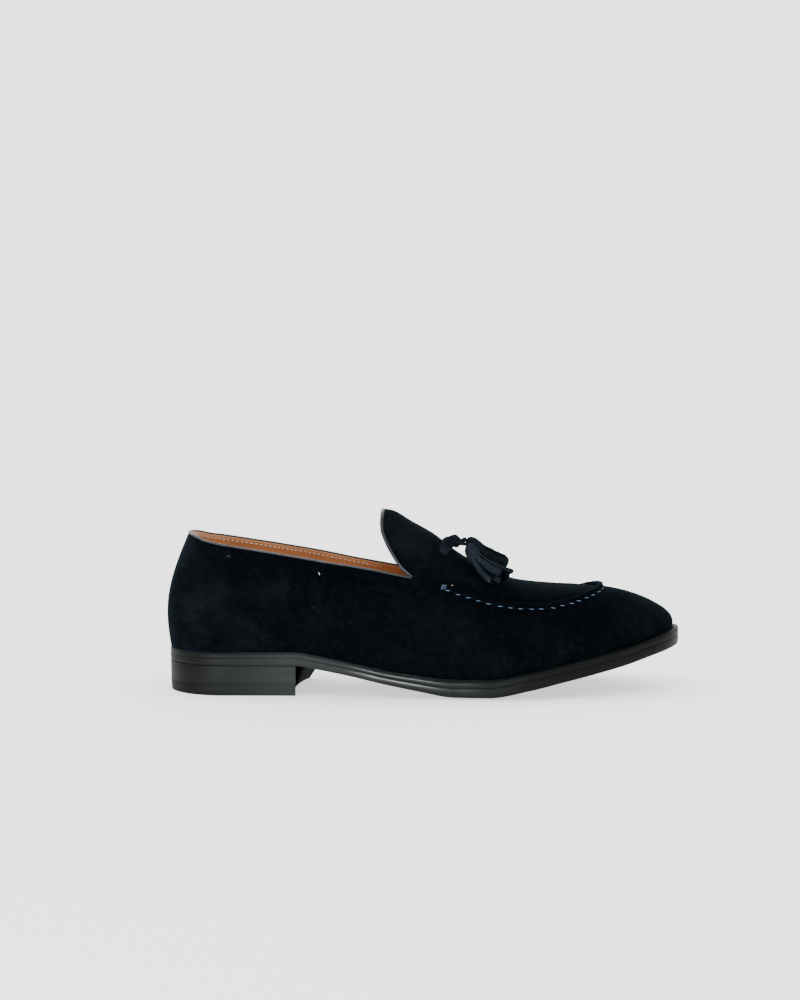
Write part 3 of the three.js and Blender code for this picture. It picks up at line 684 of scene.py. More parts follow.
def suedeMaterial(name, lift=1.0, grey=0.0, creaseShaded=False):
    s = Shader(name, {
        "Roughness": 0.95,
        "Specular IOR Level": 0.01,
        "Sheen Weight": suede["sheen"],
        "Sheen Roughness": suede["sheenRoughness"],
        "Sheen Tint": (*suede["sheenTint"], 1),
    })
    tones = {key: tuple(lift * c + grey for c in suede[key]) for key in suede["tones"]}
    strokes = s.noise(suede["strokes"], 7, 0.68)
    tufts = s.noise(suede["tufts"], 5, 0.8)
    pile = s.noise(suede["pile"], 5, 0.72)
    fibres = s.noise(suede["fibres"], 3, 0.7)
    colour = s.ramp(strokes, [(0.34, tones["deep"]), (0.52, tones["mid"]), (0.74, tones["light"])])
    # lighter spots: brushed nap together with painted highlight
    napAndHighlight = 0.0
    for centre, radius, amount in suede["napAndHighlight"]:
        spot = s.maths("MULTIPLY", s.near(centre, radius), amount)
        napAndHighlight = s.maths("ADD", napAndHighlight, spot)
    patchy = s.maths("MULTIPLY", napAndHighlight, s.grey(strokes, 0.35, 1.3, 0.36, 0.6))
    for factor, key in (
        (s.grey(s.noise(suede["clouds"], 3), 0, 0.55, 0.46, 0.66), "teal"),
        (s.grey(s.noise(suede["plumClouds"], 3), 0, 0.5, 0.52, 0.7), "plum"),
        (patchy, "light"),
        (s.grey(tufts, 0, 0.55, 0.5, 0.72), "light"),
        (s.grey(tufts, 0.6, 0, 0.3, 0.46), "deep"),
        (s.grey(fibres, 0, 0.6, 0.56, 0.82), "light"),
        (s.grey(pile, 0.65, 0, 0.3, 0.5), "deep"),
        (s.grey(s.noise(suede["flecks"], 2), 0, 0.8, 0.755, 0.8), "fleck"),
    ):
        colour = s.blend(factor, colour, tones[key])
    if creaseShaded:
        # painted shade: the cut edges of a strip, which its UV runs round, are darkened for the
        # shade in the creases between strips, and its face is made a little lighter
        cut, face = (0.24, 0.24, 0.25), (1.1, 1.1, 1.1)
        stops = [(0.5, cut), (0.58, face), (0.76, face), (0.84, cut)]
        colour = s.blend(1.0, colour, s.ramp(s.part("Y", "UV"), stops), "MULTIPLY")
    rough = s.bump(pile, 0.6, 0.0007)
    return s.done(colour, None, s.bump(fibres, 0.6, 0.0003, rough))


edgeLeather = {
    "specular": 0.09,
    # roughness along the shoe, glossiest where the waist turns into the ball
    "gloss": ((0, 0.6), (95, 0.5), (122, 0.22), (168, 0.2), (186, 0.42), (230, 0.5), (305, 0.5)),
    # colour along the shoe: the inked edge's own tone together with painted reflection, lightest
    # near the heel's breast, and darker at the back to offset the side lamp's highlight there
    "inkAndReflection": (
        (0, (0.0020, 0.0026, 0.0019)), (16, (0.0026, 0.0034, 0.0033)),
        (40, (0.0070, 0.0085, 0.0085)), (74, (0.0170, 0.0195, 0.0202)),
        (110, (0.0130, 0.0150, 0.0156)), (170, (0.0070, 0.0086, 0.0090)),
        (190, (0.0050, 0.0062, 0.0062)), (215, (0.0016, 0.0024, 0.0023)),
        (290, (0.0006, 0.0011, 0.0011)),
    ),
}


def edgeMaterial(name, layers=0.0, lift=1.0):
    # inked and burnished leather edge: fine lengthwise streaks, and the stack's lines in a heel
    s = Shader(name, {"Specular IOR Level": edgeLeather["specular"]})
    streak = s.noise(55, 5, 0.6, stretch=(0.3, 0.3, 10))
    grain = s.noise(1500, 3)
    # the colour along the shoe carries painted reflection as well as the ink's own tone
    inkAndReflection = s.along([(x, tuple(lift * c for c in colour)) for x, colour in edgeLeather["inkAndReflection"]])
    colour = s.shaded(inkAndReflection, streak, (0.3, 0.72), (0.75, 1.2))
    roughness = s.along([(x, (rough,) * 3) for x, rough in edgeLeather["gloss"]])
    roughness = s.maths("MULTIPLY", roughness, s.grey(s.noise(24, 3), 0.85, 1.15))
    normal = s.bump(streak, 0.1, 0.0004)
    if layers:
        sockets = {
            "Vector": s.coords.outputs["Object"],
            "Scale": math.pi / (10 * layers * mm),
            "Distortion": 0.5,
            "Detail": 2,
        }
        wave = s.add("TexWave", sockets, wave_type="BANDS", bands_direction="Z")
        line = s.grey(wave.outputs["Fac"], 1, 0, 0.0, 0.05)
        normal = s.bump(line, 0.16, -0.0002, normal)
    return s.done(colour, roughness, s.bump(grain, 0.1, 0.0001, normal))


def breastMaterial(name):
    # the breast of the heel: leather with painted shade near the outer side and a painted grey
    # reflection of the floor inwards
    s = Shader(name, {"Specular IOR Level": 0, "Roughness": 1})
    inwards = s.grey(s.part("Y"), 0, 1, -0.012, 0.02)
    shade = s.ramp(inwards, [(0.25, (0.0015, 0.0018, 0.0018)), (0.8, (0.030, 0.032, 0.033))])
    streak = s.noise(60, 5, 0.6, stretch=(1, 1, 7))
    colour = s.shaded(shade, streak, (0.3, 0.6), (0.75, 1.3))
    return s.done(colour, None, s.bump(streak, 0.3, 0.0004))


def rubberMaterial(name):
    s = Shader(name, {"Specular IOR Level": edgeLeather["specular"]})
    grain = s.noise(1400, 4, 0.7)
    scuff = s.noise(90, 5, 0.7, stretch=(0.4, 0.4, 5))
    # the top lift takes the same colour along the shoe, painted reflection included
    colour = s.shaded(s.along(edgeLeather["inkAndReflection"]), scuff, (0.35, 0.7), (0.8, 1.15))
    return s.done(colour, s.grey(grain, 0.55, 0.7), s.bump(grain, 0.2, 0.0002))


lining = {
    "tan": (0.62, 0.30, 0.13),
    "deepTan": (0.47, 0.20, 0.075),
    "roughness": (0.42, 0.58),
}


def liningMaterial(name):
    s = Shader(name)
    cloud = s.noise(26, 4)
    colour = s.ramp(cloud, [(0.3, lining["deepTan"]), (0.7, lining["tan"])])
    normal = s.bump(s.pores(900, 0.25), 0.2, 0.00012)
    return s.done(colour, s.grey(cloud, *lining["roughness"]), normal)


def bindingMaterial(name):
    s = Shader(name, {"Specular IOR Level": 0.3})
    low, high = (0.009, 0.011, 0.014), (0.025, 0.030, 0.036)
    colour = s.ramp(s.noise(120, 4), [(0.3, low), (0.75, high)])
    normal = s.bump(s.pores(1300, 0.2), 0.2, 0.0001)
    return s.done(colour, s.grey(s.noise(200), 0.36, 0.5), normal)


def threadMaterial(name, colour):
    s = Shader(name, {"Roughness": 0.7, "Sheen Weight": 0.2})
    twist = s.noise(1500, 3)
    tone = s.ramp(twist, [(0.3, tuple(0.6 * c for c in colour)), (0.7, colour)])
    return s.done(tone, None, s.bump(twist, 0.5, 0.0002))


def shadeMaterial(name):
    # painted shade: a dark disc for the inside of a slot
    s = Shader(name, {"Specular IOR Level": 0, "Roughness": 1})
    low, high = (0.0003, 0.0004, 0.0005), (0.001, 0.0012, 0.0015)
    return s.done(s.ramp(s.noise(900, 3), [(0.3, low), (0.7, high)]))


buildStudio()
finish = {
    "suede": suedeMaterial("suede", 0.58),
    "tassel": suedeMaterial("suedeTassel", 2.2, grey=0.0020),
    "strap": suedeMaterial("suedeStrap", 1.5, grey=0.0008),
    "fringe": suedeMaterial("suedeFringe", 2.5, grey=0.0028, creaseShaded=True),
    "lining": liningMaterial("liningLeather"),
    "binding": bindingMaterial("bindingLeather"),
    "welt": edgeMaterial("weltLeather"),
    "wheel": edgeMaterial("wheeledWelt", lift=4),
    "outsole": edgeMaterial("soleEdge"),
    "heel": edgeMaterial("heelStack", layers=4.5),
    "breast": breastMaterial("heelBreast"),
    "lift": rubberMaterial("liftRubber"),
    "apronThread": threadMaterial("apronThread", (0.062, 0.135, 0.24)),
    "tackThread": threadMaterial("tackThread", (0.022, 0.055, 0.115)),
    "liningThread": threadMaterial("liningThread", (0.95, 0.90, 0.80)),
    "lint": threadMaterial("lint", (0.07, 0.042, 0.06)),
    "holeShade": shadeMaterial("slotShade"),
}
print("camera, floor and materials are ready")

upperShape = {
    "suedeThickness": 1.2,
    "liningThickness": 0.95,
    "rearColumns": 76,
    "frontColumns": 120,
    "lowRows": 30,
    "topRows": 34,
    "tongueBlend": 35,  # length over which the ribs turn from the tongue's edge to upright
}
seam = {
    "start": 162,
    "width": 3,
    "height": 2.4,
    "pitch": 6.1,
    "stitch": 3.3,
    "thread": 0.5,
    "sunk": 0.7,  # how far the apron lies below the vamp just inside the seam
    "tackTurns": 4,
    "tackSize": (0.45, 0.45, 3.4),
}
seamRows = table(
    ("at", "reach"),
    (0.53, 0.325), (0.58, 0.336), (0.64, 0.348), (0.7, 0.357), (0.736, 0.351), (0.77, 0.319),
    (0.81, 0.272), (0.86, 0.226), (0.95, 0.196), (1, 0.19),
)
seamCurve = curveOf(seamRows, "reach")


def seamReach(station):
    return ball * seamCurve(share(stationX(station)))


def awayFromRidge(point, station):
    middle = min(stationX(station), last["toeFan"])
    return math.hypot(point.x - middle, point.y - upperCurve["shift"](share(middle)))


@lru_cache(None)
def seamAngle(station, side):
    reach = seamReach(station)
    return angleWhere(station, side, lambda p: awayFromRidge(p, station) > reach)


# soft troughs (-) and ridges (+) of the upper, as runs in the side view: side, depth, width, path
folds = [
    {"side": outer, "depth": -0.7, "width": 9, "path": ((96, 40), (128, 60), (150, 66))},
    {"side": inner, "depth": -0.8, "width": 10, "path": ((92, 38), (124, 58), (150, 68))},
    {"side": outer, "depth": 0.35, "width": 7, "path": ((22, 30), (18, 52), (14, 78))},
    {"side": inner, "depth": 0.35, "width": 7, "path": ((22, 30), (18, 52), (14, 78))},
    {"side": outer, "depth": -0.4, "width": 5, "path": ((168, 40), (186, 50))},
    {"side": outer, "depth": -0.35, "width": 4, "path": ((184, 34), (198, 44))},
    {"side": inner, "depth": -0.4, "width": 5, "path": ((172, 42), (190, 51))},
]


def awayFromPath(x, z, path):
    best = 1e9
    for (ax, az), (bx, bz) in zip(path, path[1:]):
        run = (bx - ax) ** 2 + (bz - az) ** 2
        t = clamp(((x - ax) * (bx - ax) + (z - az) * (bz - az)) / run)
        best = min(best, math.hypot(x - mix(ax, bx, t), z - mix(az, bz, t)))
    return best


def relief(point, station, side):
    total = 0.0
    for fold in folds:
        if fold["side"] == side:
            away = awayFromPath(point.x, point.z, fold["path"]) / fold["width"]
            if away < 2.6:
                total += fold["depth"] * math.exp(-away * away)
    if point.x > seam["start"] - 8:
        inside = seamReach(station) - awayFromRidge(point, station)
        shown = eased((point.x - seam["start"] + 8) / 14)
        if inside > -2:
            step = eased((inside + 2) / 3.5) * math.exp(-max(0, inside) / 14)
            total -= seam["sunk"] * shown * step
    return total


def wallPoint(station, side, angle, grow=0.0):
    base = ribPoint(station, side, angle, grow)
    return ribPoint(station, side, angle, grow + relief(base, station, side))


def wallSheet(bm, grow, below):
    # the upper's whole surface: a low band right round, and the vamp with the tongue above it
    throat = stationAt(collar["throatAt"])
    rear = spread(0, throat, upperShape["rearColumns"])
    front = spread(throat, 1, upperShape["frontColumns"])
    stations = rear + front[1:]
    for side in (outer, inner):
        split = throatAngle(side)
        # the rib at the throat carries the corner, so the last ribs before it ease up to it
        tops = {
            station: collarAngle(station, side, below * eased((throat - station) * 60), grow)
            if station < throat else split
            for station in stations
        }

        def low(u, v):
            station = stations[round(u * (len(stations) - 1))]
            point = wallPoint(station, side, v * tops[station], grow)
            if v == 0:
                point.z -= sole["footGap"] - 0.05  # the foot of the wall is tucked down to the welt
            return point

        def high(u, v):
            angle = mix(split, math.pi / 2, v)
            base = stationX(front[round(u * (len(front) - 1))])
            fade = clamp((base - collar["throatAt"]) / upperShape["tongueBlend"])
            under = 0.3 * below * eased(v * 12)
            shift = tongueShift(side, angle, round(under, 3), grow)
            return wallPoint(stationAt(base + shift * (1 - fade) ** 2), side, angle, grow)

        addGrid(bm, len(stations) - 1, upperShape["lowRows"], low)
        addGrid(bm, len(front) - 1, upperShape["topRows"], high)
    closeUp(bm, 10 * weld)


def facesOut(bm):
    # an open sheet is turned so that its faces look away from the middle of the shoe
    middle = place((150, 0, 45))
    facing = sum((f.calc_center_median() - middle).dot(f.normal) for f in bm.faces)
    if facing < 0:
        bmesh.ops.reverse_faces(bm, faces=bm.faces)


def thicken(obj, thickness):
    wall = obj.modifiers.new("wall", "SOLIDIFY")
    wall.thickness = thickness * mm
    wall.offset = -1
    wall.use_even_offset = True
    wall.use_quality_normals = True


def buildUpper():
    suedeWall, liningWall = upperShape["suedeThickness"], upperShape["liningThickness"]
    for name, look, grow, below, thickness, nodes in (
        ("upperSuede", "suede", 0, 0.35, suedeWall, ["upper"]),
        ("lining", "lining", -suedeWall - 0.05, 0.3, liningWall, []),
    ):
        bm = bmesh.new()
        wallSheet(bm, grow, below * collar["bead"])
        facesOut(bm)
        thicken(makePiece(bm, name, look, look, *nodes), thickness)


def sweep(path, section):
    # path: (point, across, up) frames; section(t) gives the (across, up) corners of the profile
    bm = bmesh.new()
    corners = len(section(0))
    steps = len(path) - 1

    def shape(u, v):
        i = round(u * steps)
        point, across, up = path[i]
        a, b = section(i / steps)[round(v * corners) % corners]
        return point + across * a + up * b

    addGrid(bm, steps, corners, shape)
    bmesh.ops.remove_doubles(bm, verts=bm.verts, dist=weld)
    bmesh.ops.holes_fill(bm, edges=[e for e in bm.edges if e.is_boundary], sides=0)
    closeUp(bm)
    return bm


def framesAlong(points, ups):
    frames = []
    for i, point in enumerate(points):
        along = points[min(i + 1, len(points) - 1)] - points[max(i - 1, 0)]
        across = ups[i].cross(along).normalized()
        frames.append((point, across, along.cross(across).normalized()))
    return frames


def bindingSection(radius, half, inside=1.02, corners=14):
    # an oval as wide as the wall, with its top at the edge that the radius gives
    turn = [2 * math.pi * k / corners for k in range(corners)]
    return [
        (
            (1.02 if math.cos(t) > 0 else inside) * radius * math.cos(t),
            radius - half + half * math.sin(t),
        )
        for t in turn
    ]


def seamPath(steps):
    # points along the foot of the apron's seam, each with its way up the wall and its way out
    spots = []
    for station, side in bothSides(spread(stationAt(seam["start"]), 1, steps)):
        angle = seamAngle(station, side)
        point = ribPoint(station, side, angle)
        upwards = (ribPoint(station, side, angle + 0.02) - point).normalized()
        spots.append((point, upwards))
    frames = []
    for i, (point, upwards) in enumerate(spots):
        along = spots[min(i + 1, len(spots) - 1)][0] - spots[max(i - 1, 0)][0]
        out = along.cross(upwards).normalized()
        frames.append((point, upwards, out))
    return frames


def buildSeam():
    path = seamPath(150)
    travel = [0.0]
    for a, b in zip(path, path[1:]):
        travel.append(travel[-1] + (b[0] - a[0]).length)
    width, height = seam["width"], seam["height"]

    def section(t):
        s = travel[round(t * (len(path) - 1))]
        pinch = 0.12 * math.cos(2 * math.pi * s / seam["pitch"])
        ends = eased(s / 9) * eased((travel[-1] - s) / 9)
        h = mix(0.25, 1, ends) * height + pinch * ends
        return [
            (0, -1.2), (-0.12, 0.3 * h), (0.02, 0.68 * h), (0.35, 0.9 * h), (0.8, h),
            (0.4 * width, 1.03 * h), (0.62 * width, 0.97 * h), (0.85 * width, 0.8 * h),
            (width, 0.5 * h), (1.12 * width, 0.12 * h), (1.25 * width, -1.2),
        ]

    makePiece(sweep(path, section), "apronSeam", "suede", "suede")
    # hand stitches along the foot of the ridge
    bm = bmesh.new()
    count = int(travel[-1] // seam["pitch"])
    for k in range(count):
        middle = (k + 0.6) * travel[-1] / count
        i = min(range(len(travel)), key=lambda j: abs(travel[j] - middle))
        point, upwards, out = path[i]
        along = out.cross(upwards).normalized()
        turn = Matrix((along, upwards, out)).transposed()
        length = seam["stitch"] * random.uniform(0.88, 1.08)
        spot = point + out * 0.25 - upwards * 0.75
        addBead(bm, spot, turn, (length, seam["thread"], seam["thread"]))
    makeBeads(bm, "apronStitches", "apronThread", "suede")
    # the tack that closes each end of the seam
    bm = bmesh.new()
    for side, (point, upwards, out) in ((outer, path[0]), (inner, path[-1])):
        lean = Vector((0.3, -0.2 * side, 1)).normalized().to_track_quat("Z", "Y").to_matrix()
        for k in range(seam["tackTurns"]):
            aside = Vector((0.75 * k - 0.6, 0, 0))
            spot = point + out * 0.3 + aside + upwards * random.uniform(-0.2, 0.5)
            addBead(bm, spot, lean, seam["tackSize"])
    makeBeads(bm, "apronTacks", "tackThread", "suede")


def buildBindings():
    middle = -last["wall"] / 2
    radius = collar["bead"] / 2
    points = []
    for station, side in bothSides(spread(stationAt(collar["throatAt"] - 0.6), 0, 90)):
        angle = collarAngle(station, side, radius, middle)
        points.append(ribPoint(station, side, angle, middle))
    ups = [Vector((0, 0, 1))] * len(points)
    profile = bindingSection(radius, 0.62, 0.82)
    rim = sweep(framesAlong(points, ups), lambda t: profile)
    makePiece(rim, "collarBinding", "binding", "binding", "collar_binding")
    points = []
    for side in (outer, inner):
        angles = spread(throatAngle(side, middle), math.pi / 2, 60)
        climb = [tonguePoint(side, a, radius, middle)[0] for a in angles]
        points += climb if side == outer else climb[-2::-1]
    ups = [Vector((-1, 0, 0.4))] * len(points)
    edge = sweep(
        framesAlong(points, ups),
        lambda t: bindingSection(radius, mix(0.74, 1.2, math.sin(math.pi * t))),
    )
    makePiece(edge, "tongueBinding", "binding", "binding", "tongue_binding")


liningStitch = {
    "below": 3.1,
    "pitch": 2.6,
    "length": 1.85,
    "thread": 0.74,
    "height": 0.5,
}


def buildLiningStitches():
    face = -upperShape["suedeThickness"] - upperShape["liningThickness"] - 0.1
    points = []
    for station, side in bothSides(spread(stationAt(collar["throatAt"] - 3), 0, 500)):
        angle = collarAngle(station, side, liningStitch["below"], face)
        points.append(ribPoint(station, side, angle, face))
    bm = bmesh.new()
    for i in paced(points, liningStitch["pitch"]):
        length = liningStitch["length"] * random.uniform(0.85, 1.05)
        turn = (points[i] - points[i - 1]).to_track_quat("X", "Z").to_matrix()
        addBead(bm, points[i], turn, (length, liningStitch["height"], liningStitch["thread"]))
    makeBeads(bm, "liningStitches", "liningThread", "lining")


# bits of lint and small light marks on the outer side: x, z, length, turn, thickness
lint = {
    "hairs": (
        (36, 82.2, 2.2, -0.7, 0.17), (37.4, 81.6, 1.8, 0.3, 0.17), (36.8, 82.4, 1.5, -0.2, 0.17),
    ),
    "ends": ((89.8, 72.2, 1.9, 1.15, 0.42), (167.4, 64.6, 2.1, -0.3, 0.3)),
}


def buildLint():
    # a wisp of pinkish lint on the quarter, and small light marks
    for name, look, bend in (("hairs", "lint", 1.2), ("ends", "liningThread", 0.2)):
        bm = bmesh.new()
        for x, z, reach, turn, thick in lint[name]:
            station = stationAt(x)
            middle = ribPoint(station, outer, angleAt(station, outer, z), 0.3)
            leaning = Matrix.Rotation(turn, 3, "Y")
            addBead(bm, middle, leaning, (reach, thick, thick), bend, segments=6, rings=5)
        makeBeads(bm, f"lint_{name}", look, "suede")


buildUpper()
buildSeam()
buildBindings()
buildLiningStitches()
buildLint()
print("upper, seam and bindings are built")

lace = {
    "width": 5.4,
    "thickness": 1.4,
    "below": 9.6,  # middle of the lace under the collar's edge
    "rear": (58, 90),
    "front": (115, 145.5),
    "slotWidth": 5.8,
}


def buildLaces():
    for side, sideName in ((outer, "outer"), (inner, "inner")):
        for run in ("rear", "front"):
            start, end = lace[run]
            points, ups = [], []
            for x in spread(start, end, 40):
                station = stationAt(x)
                angle = collarAngle(station, side, lace["below"])
                point = ribPoint(station, side, angle)
                up = (ribPoint(station, side, angle, 1) - point).normalized()
                into = min(x - start, end - x)
                points.append(point + up * mix(-0.9, 0.42, eased(into / 4)))
                ups.append(up)
            half, thick = lace["width"] / 2, lace["thickness"] / 2
            profile = [
                (-half, -thick), (half, -thick), (half + 0.25, 0), (half - 0.2, 0.75 * thick),
                (0.6 * half, thick), (0, 1.08 * thick), (-0.6 * half, thick),
                (-half + 0.2, 0.75 * thick), (-half - 0.25, 0),
            ]
            bar = sweep(framesAlong(points, ups), lambda t: profile)
            name = f"{sideName}_{run}"
            makePiece(bar, f"lace_{name}", "suede", "suede", f"lace_{name}")
            bm = bmesh.new()
            for x in (start, end):
                addSlot(bm, x, side, collarHeight(x) - lace["below"])
            makePiece(bm, f"slots_{name}", "holeShade", "suede")


def addSlot(bm, x, side, height):
    station = stationAt(x)
    angle = angleAt(station, side, height)
    point = ribPoint(station, side, angle)
    out = (ribPoint(station, side, angle, 1) - point).normalized()
    upwards = (ribPoint(station, side, angle + 0.03) - point).normalized()
    along = upwards.cross(out).normalized()
    # a disc for the slot's inside, which its caller gives the painted shade
    ring = bmesh.ops.create_circle(bm, cap_ends=True, segments=16, radius=0.5)["verts"]
    for v in ring:
        x, y = v.co.x * 0.9, v.co.y
        v.co = place(point + out * 0.12 + along * x + upwards * y * lace["slotWidth"])


buildLaces()
print("laces are run through their slots")

bow = {
    "turn": 1,
    "thickness": 1.8,
    "knot": 8.4,
    "knotAt": (170, -0.4, 5.5),
    "inside": 5.4,  # how far each lace end runs on inside its slot
}
bowColumns = ("x", "y", "lift", "width")
bowRows = {
    "outer": table(
        bowColumns,
        (163, 14.2, 0.4, 5.8), (165, 10.4, 2, 6.6), (167.4, 5.6, 4.2, 6.4),
        (170.2, 2.6, 5.6, 4.6), (174.2, 4.8, 7.6, 3), (176.6, 8.6, 10.4, 2.2),
    ),
    "inner": table(
        bowColumns,
        (163.6, 14.6, 0.6, 5.6), (165.4, 11, 1.8, 5.6), (167.6, 6, 3.8, 5.4),
        (170.2, 2.6, 5.6, 4.6), (174.2, 4.8, 7.8, 3), (176.6, 8.6, 10.6, 2.2),
    ),
}
tassel = {
    "head": 11.5,
    "headWidth": 8.4,
    # the head's profile, as shares of its radius and of its length
    "headRadii": (0, 0.48, 0.82, 0.98, 1, 0.9, 0.78, 0.6),
    "headDrops": (0, 0.03, 0.16, 0.36, 0.6, 0.84, 1, 1.12),
    "stripWidth": 6.4,
    "stripThickness": 1.8,
    "stripSteps": 14,
    "stripCorners": ((-1, -1), (0, -1.2), (1, -1), (1, 1), (0, 1.2), (-1, 1)),
}
tasselEnds = {
    "outer": {
        "side": outer, "x": 198.5, "y": 20.5, "lift": 8,
        "length": 33, "width": 23, "depth": 11, "strips": 7, "innerStrips": 5, "sag": 3.2,
    },
    "inner": {
        "side": inner, "x": 202, "y": 12, "lift": 7.6,
        "length": 30.5, "width": 10, "depth": 6.5, "strips": 5, "innerStrips": 2, "sag": 1.2,
    },
}


def smoothPath(points, steps):
    # Catmull-Rom curve through the points
    path = []
    spans = len(points) - 1
    for k in range(steps + 1):
        at = min(k / steps * spans, spans - 1e-9)
        i, t = int(at), at - int(at)
        p = [points[clamp(j, 0, spans)] for j in (i - 1, i, i + 1, i + 2)]
        path.append(
            0.5 * (2 * p[1] + (p[2] - p[0]) * t + (2 * p[0] - 5 * p[1] + 4 * p[2] - p[3]) * t * t
                   + (3 * p[1] - p[0] - 3 * p[2] + p[3]) * t ** 3)
        )
    return path


def bowSpots(sideName):
    side = tasselEnds[sideName]["side"]
    return [overSurface(r["x"], bow["turn"] + side * r["y"], r["lift"]) for r in bowRows[sideName]]


def buildBow():
    knotX, knotY, knotLift = bow["knotAt"]
    size = bow["knot"]
    centre = overSurface(knotX, bow["turn"] + knotY, knotLift)
    bm = bmesh.new()
    made = bmesh.ops.create_uvsphere(bm, u_segments=40, v_segments=28, radius=0.5)["verts"]
    for v in made:
        x, y, z = v.co
        turn = math.atan2(z, x)
        # two turns of the lace pass round the knot, with a furrow between them
        furrow = -0.16 * math.exp(-((2 * y + 0.55 * x - 0.05) / 0.16) ** 2)
        wrap = 1 + 0.09 * math.cos(2 * turn + 5 * y + 0.6) + 0.05 * math.cos(5 * turn) + furrow
        v.co = place(centre + Vector((size * x * wrap, 1.2 * size * y, 0.98 * size * z * wrap)))
    closeUp(bm)
    knot = makePiece(bm, "bowKnot", "strap", "suede")
    straps = {}
    for side, sideName in ((outer, "outer"), (inner, "inner")):
        rows = bowRows[sideName]
        spots = bowSpots(sideName)
        ups = [surfaceNormal(row["x"], bow["turn"] + side * row["y"]) for row in rows]
        first = (spots[0] - spots[1]).normalized()
        hidden = spots[0] + first * bow["inside"] - ups[0] * 3.2
        spots, ups = [hidden] + spots, [ups[0]] + ups
        path = smoothPath(spots, 60)
        normals = smoothPath(ups, 60)
        widths = [0.8 * rows[0]["width"]] + [row["width"] for row in rows]

        def section(t, widths=widths):
            half = midway(widths, t) / 2
            thick = bow["thickness"] / 2
            # the lace is slightly folded along its middle
            fold = 0.5 * thick * math.sin(math.pi * t)
            return [
                (-half, -0.6 * thick), (0, -thick), (half, -0.6 * thick), (half + 0.15, 0),
                (half, 0.6 * thick), (0.45 * half, thick + fold), (0, thick - fold),
                (-0.45 * half, thick + fold), (-half, 0.6 * thick), (-half - 0.15, 0),
            ]

        bm = sweep(framesAlong(path, normals), section)
        nodes = ["bow"] if side == outer else []
        strap = makePiece(bm, f"bowStrap_{sideName}", "strap", "suede", *nodes)
        straps[sideName] = (strap, [place(p) for p in path])
        bm = bmesh.new()
        row = rows[0]
        addSlot(bm, spots[1].x, side, overSurface(row["x"], bow["turn"] + side * row["y"]).z)
        makePiece(bm, f"bowSlot_{sideName}", "holeShade", "suede")
    return knot, straps


def buildTassel(name):
    where = tasselEnds[name]
    side = where["side"]
    start = bowSpots(name)[-1]
    end = overSurface(where["x"], bow["turn"] + side * where["y"], where["lift"])
    down = (end - start).normalized()
    level = Vector((0, 0, 1)).cross(down).normalized()
    out = down.cross(level).normalized()
    if out.z < 0:
        out = -out
    top = start + down * 0.9

    def spot(across, up, drop):
        sag = where["sag"] * math.sin(math.pi * clamp(drop / where["length"])) ** 0.8
        return top + level * across + out * (up - sag) + down * drop

    radius = tassel["headWidth"] / 2
    bm = bmesh.new()

    def headShape(u, v):
        r = midway(tassel["headRadii"], v) * radius
        z = midway(tassel["headDrops"], v) * tassel["head"]
        turn = 2 * math.pi * u
        # the head is a strip rolled up: its outer end shows as a step down the side
        r *= 1 + 0.06 * ((turn + 0.5) % (2 * math.pi)) / (2 * math.pi)
        return spot(r * math.cos(turn), r * math.sin(turn), z)

    addGrid(bm, 40, 28, headShape)
    closeUp(bm)
    facesOut(bm)
    head = makePiece(bm, f"tasselHead_{name}", "tassel", "suede", f"tassel_{name}")

    bm = bmesh.new()
    steps = tassel["stripSteps"]
    for layer, count in ((0.5, where["innerStrips"]), (1.0, where["strips"])):
        for k in range(count):
            turn = 2 * math.pi * (k + random.uniform(0.35, 0.65)) / count + 0.4 * (1 - layer)
            length = where["length"] * random.uniform(0.83, 1.0)
            half = tassel["stripWidth"] / 2 * random.uniform(0.88, 1.12)
            curl, twist = random.uniform(-1.2, 1.6), random.uniform(-0.4, 0.4)
            sway = random.uniform(-1, 1)
            # every second strip lies over its neighbours
            fuller = random.uniform(0.94, 1.06) * (1.13 if k % 2 else 0.92)
            points, ups = [], []
            for t in spread(0, 1, steps):
                flare = eased(1.15 * t) ** 0.7
                wide = mix(0.72 * radius, 0.38 * where["width"], flare) * layer * mix(1, fuller, t)
                deep = mix(0.66 * radius, 0.4 * where["depth"], flare) * layer * mix(1, fuller, t)
                across = wide * math.cos(turn) + sway * t * t
                up = deep * math.sin(turn) + curl * t * t * t
                points.append(spot(across, up, mix(0.8 * tassel["head"], length, t)))
                facing = turn + twist * t
                ups.append((level * math.cos(facing) + out * math.sin(facing)).normalized())
            frames = framesAlong(points, ups)
            thick = tassel["stripThickness"] / 2
            ragged = [random.uniform(0.88, 1.12) for _ in range(steps + 1)]

            def shape(u, v, frames=frames, half=half, thick=thick, ragged=ragged):
                i = round(u * steps)
                corner = tassel["stripCorners"][round(v * 6) % 6]
                point, across, up = frames[i]
                t = i / steps
                w = half * mix(0.5, 1, eased(2.2 * t)) * (0.72 if t == 1 else ragged[i])
                return point + across * corner[0] * w + up * corner[1] * thick

            made = addGrid(bm, steps, len(tassel["stripCorners"]), shape, mapped=True)
            bmesh.ops.remove_doubles(bm, verts=made, dist=weld)
    bmesh.ops.holes_fill(bm, edges=[e for e in bm.edges if e.is_boundary], sides=0)
    bmesh.ops.recalc_face_normals(bm, faces=bm.faces)
    fringe = makePiece(bm, f"tasselFringe_{name}", "fringe", "suede")
    soft = fringe.modifiers.new("soft", "SUBSURF")
    soft.levels = soft.render_levels = 1
    return head, fringe


knot, straps = buildBow()
for sideName in ("outer", "inner"):
    head, fringe = buildTassel(sideName)
print("bow and tassels are tied")

edges = {
    "columns": 150,
    "round": 0.16,
    "wheelPitch": 1.35,
}


def layerGrid(bm, loop, stations):
    # a closed loop of (side, inset, height) round a layer's section, drawn along the sole
    def shape(u, v):
        station = stations[round(u * (len(stations) - 1))]
        side, inset, height = loop[round(v * len(loop)) % len(loop)]
        point = insetPoint(station, side, inset(station) if callable(inset) else inset)
        return Vector((point.x, point.y, height(point.x)))

    addGrid(bm, len(stations) - 1, len(loop), shape)


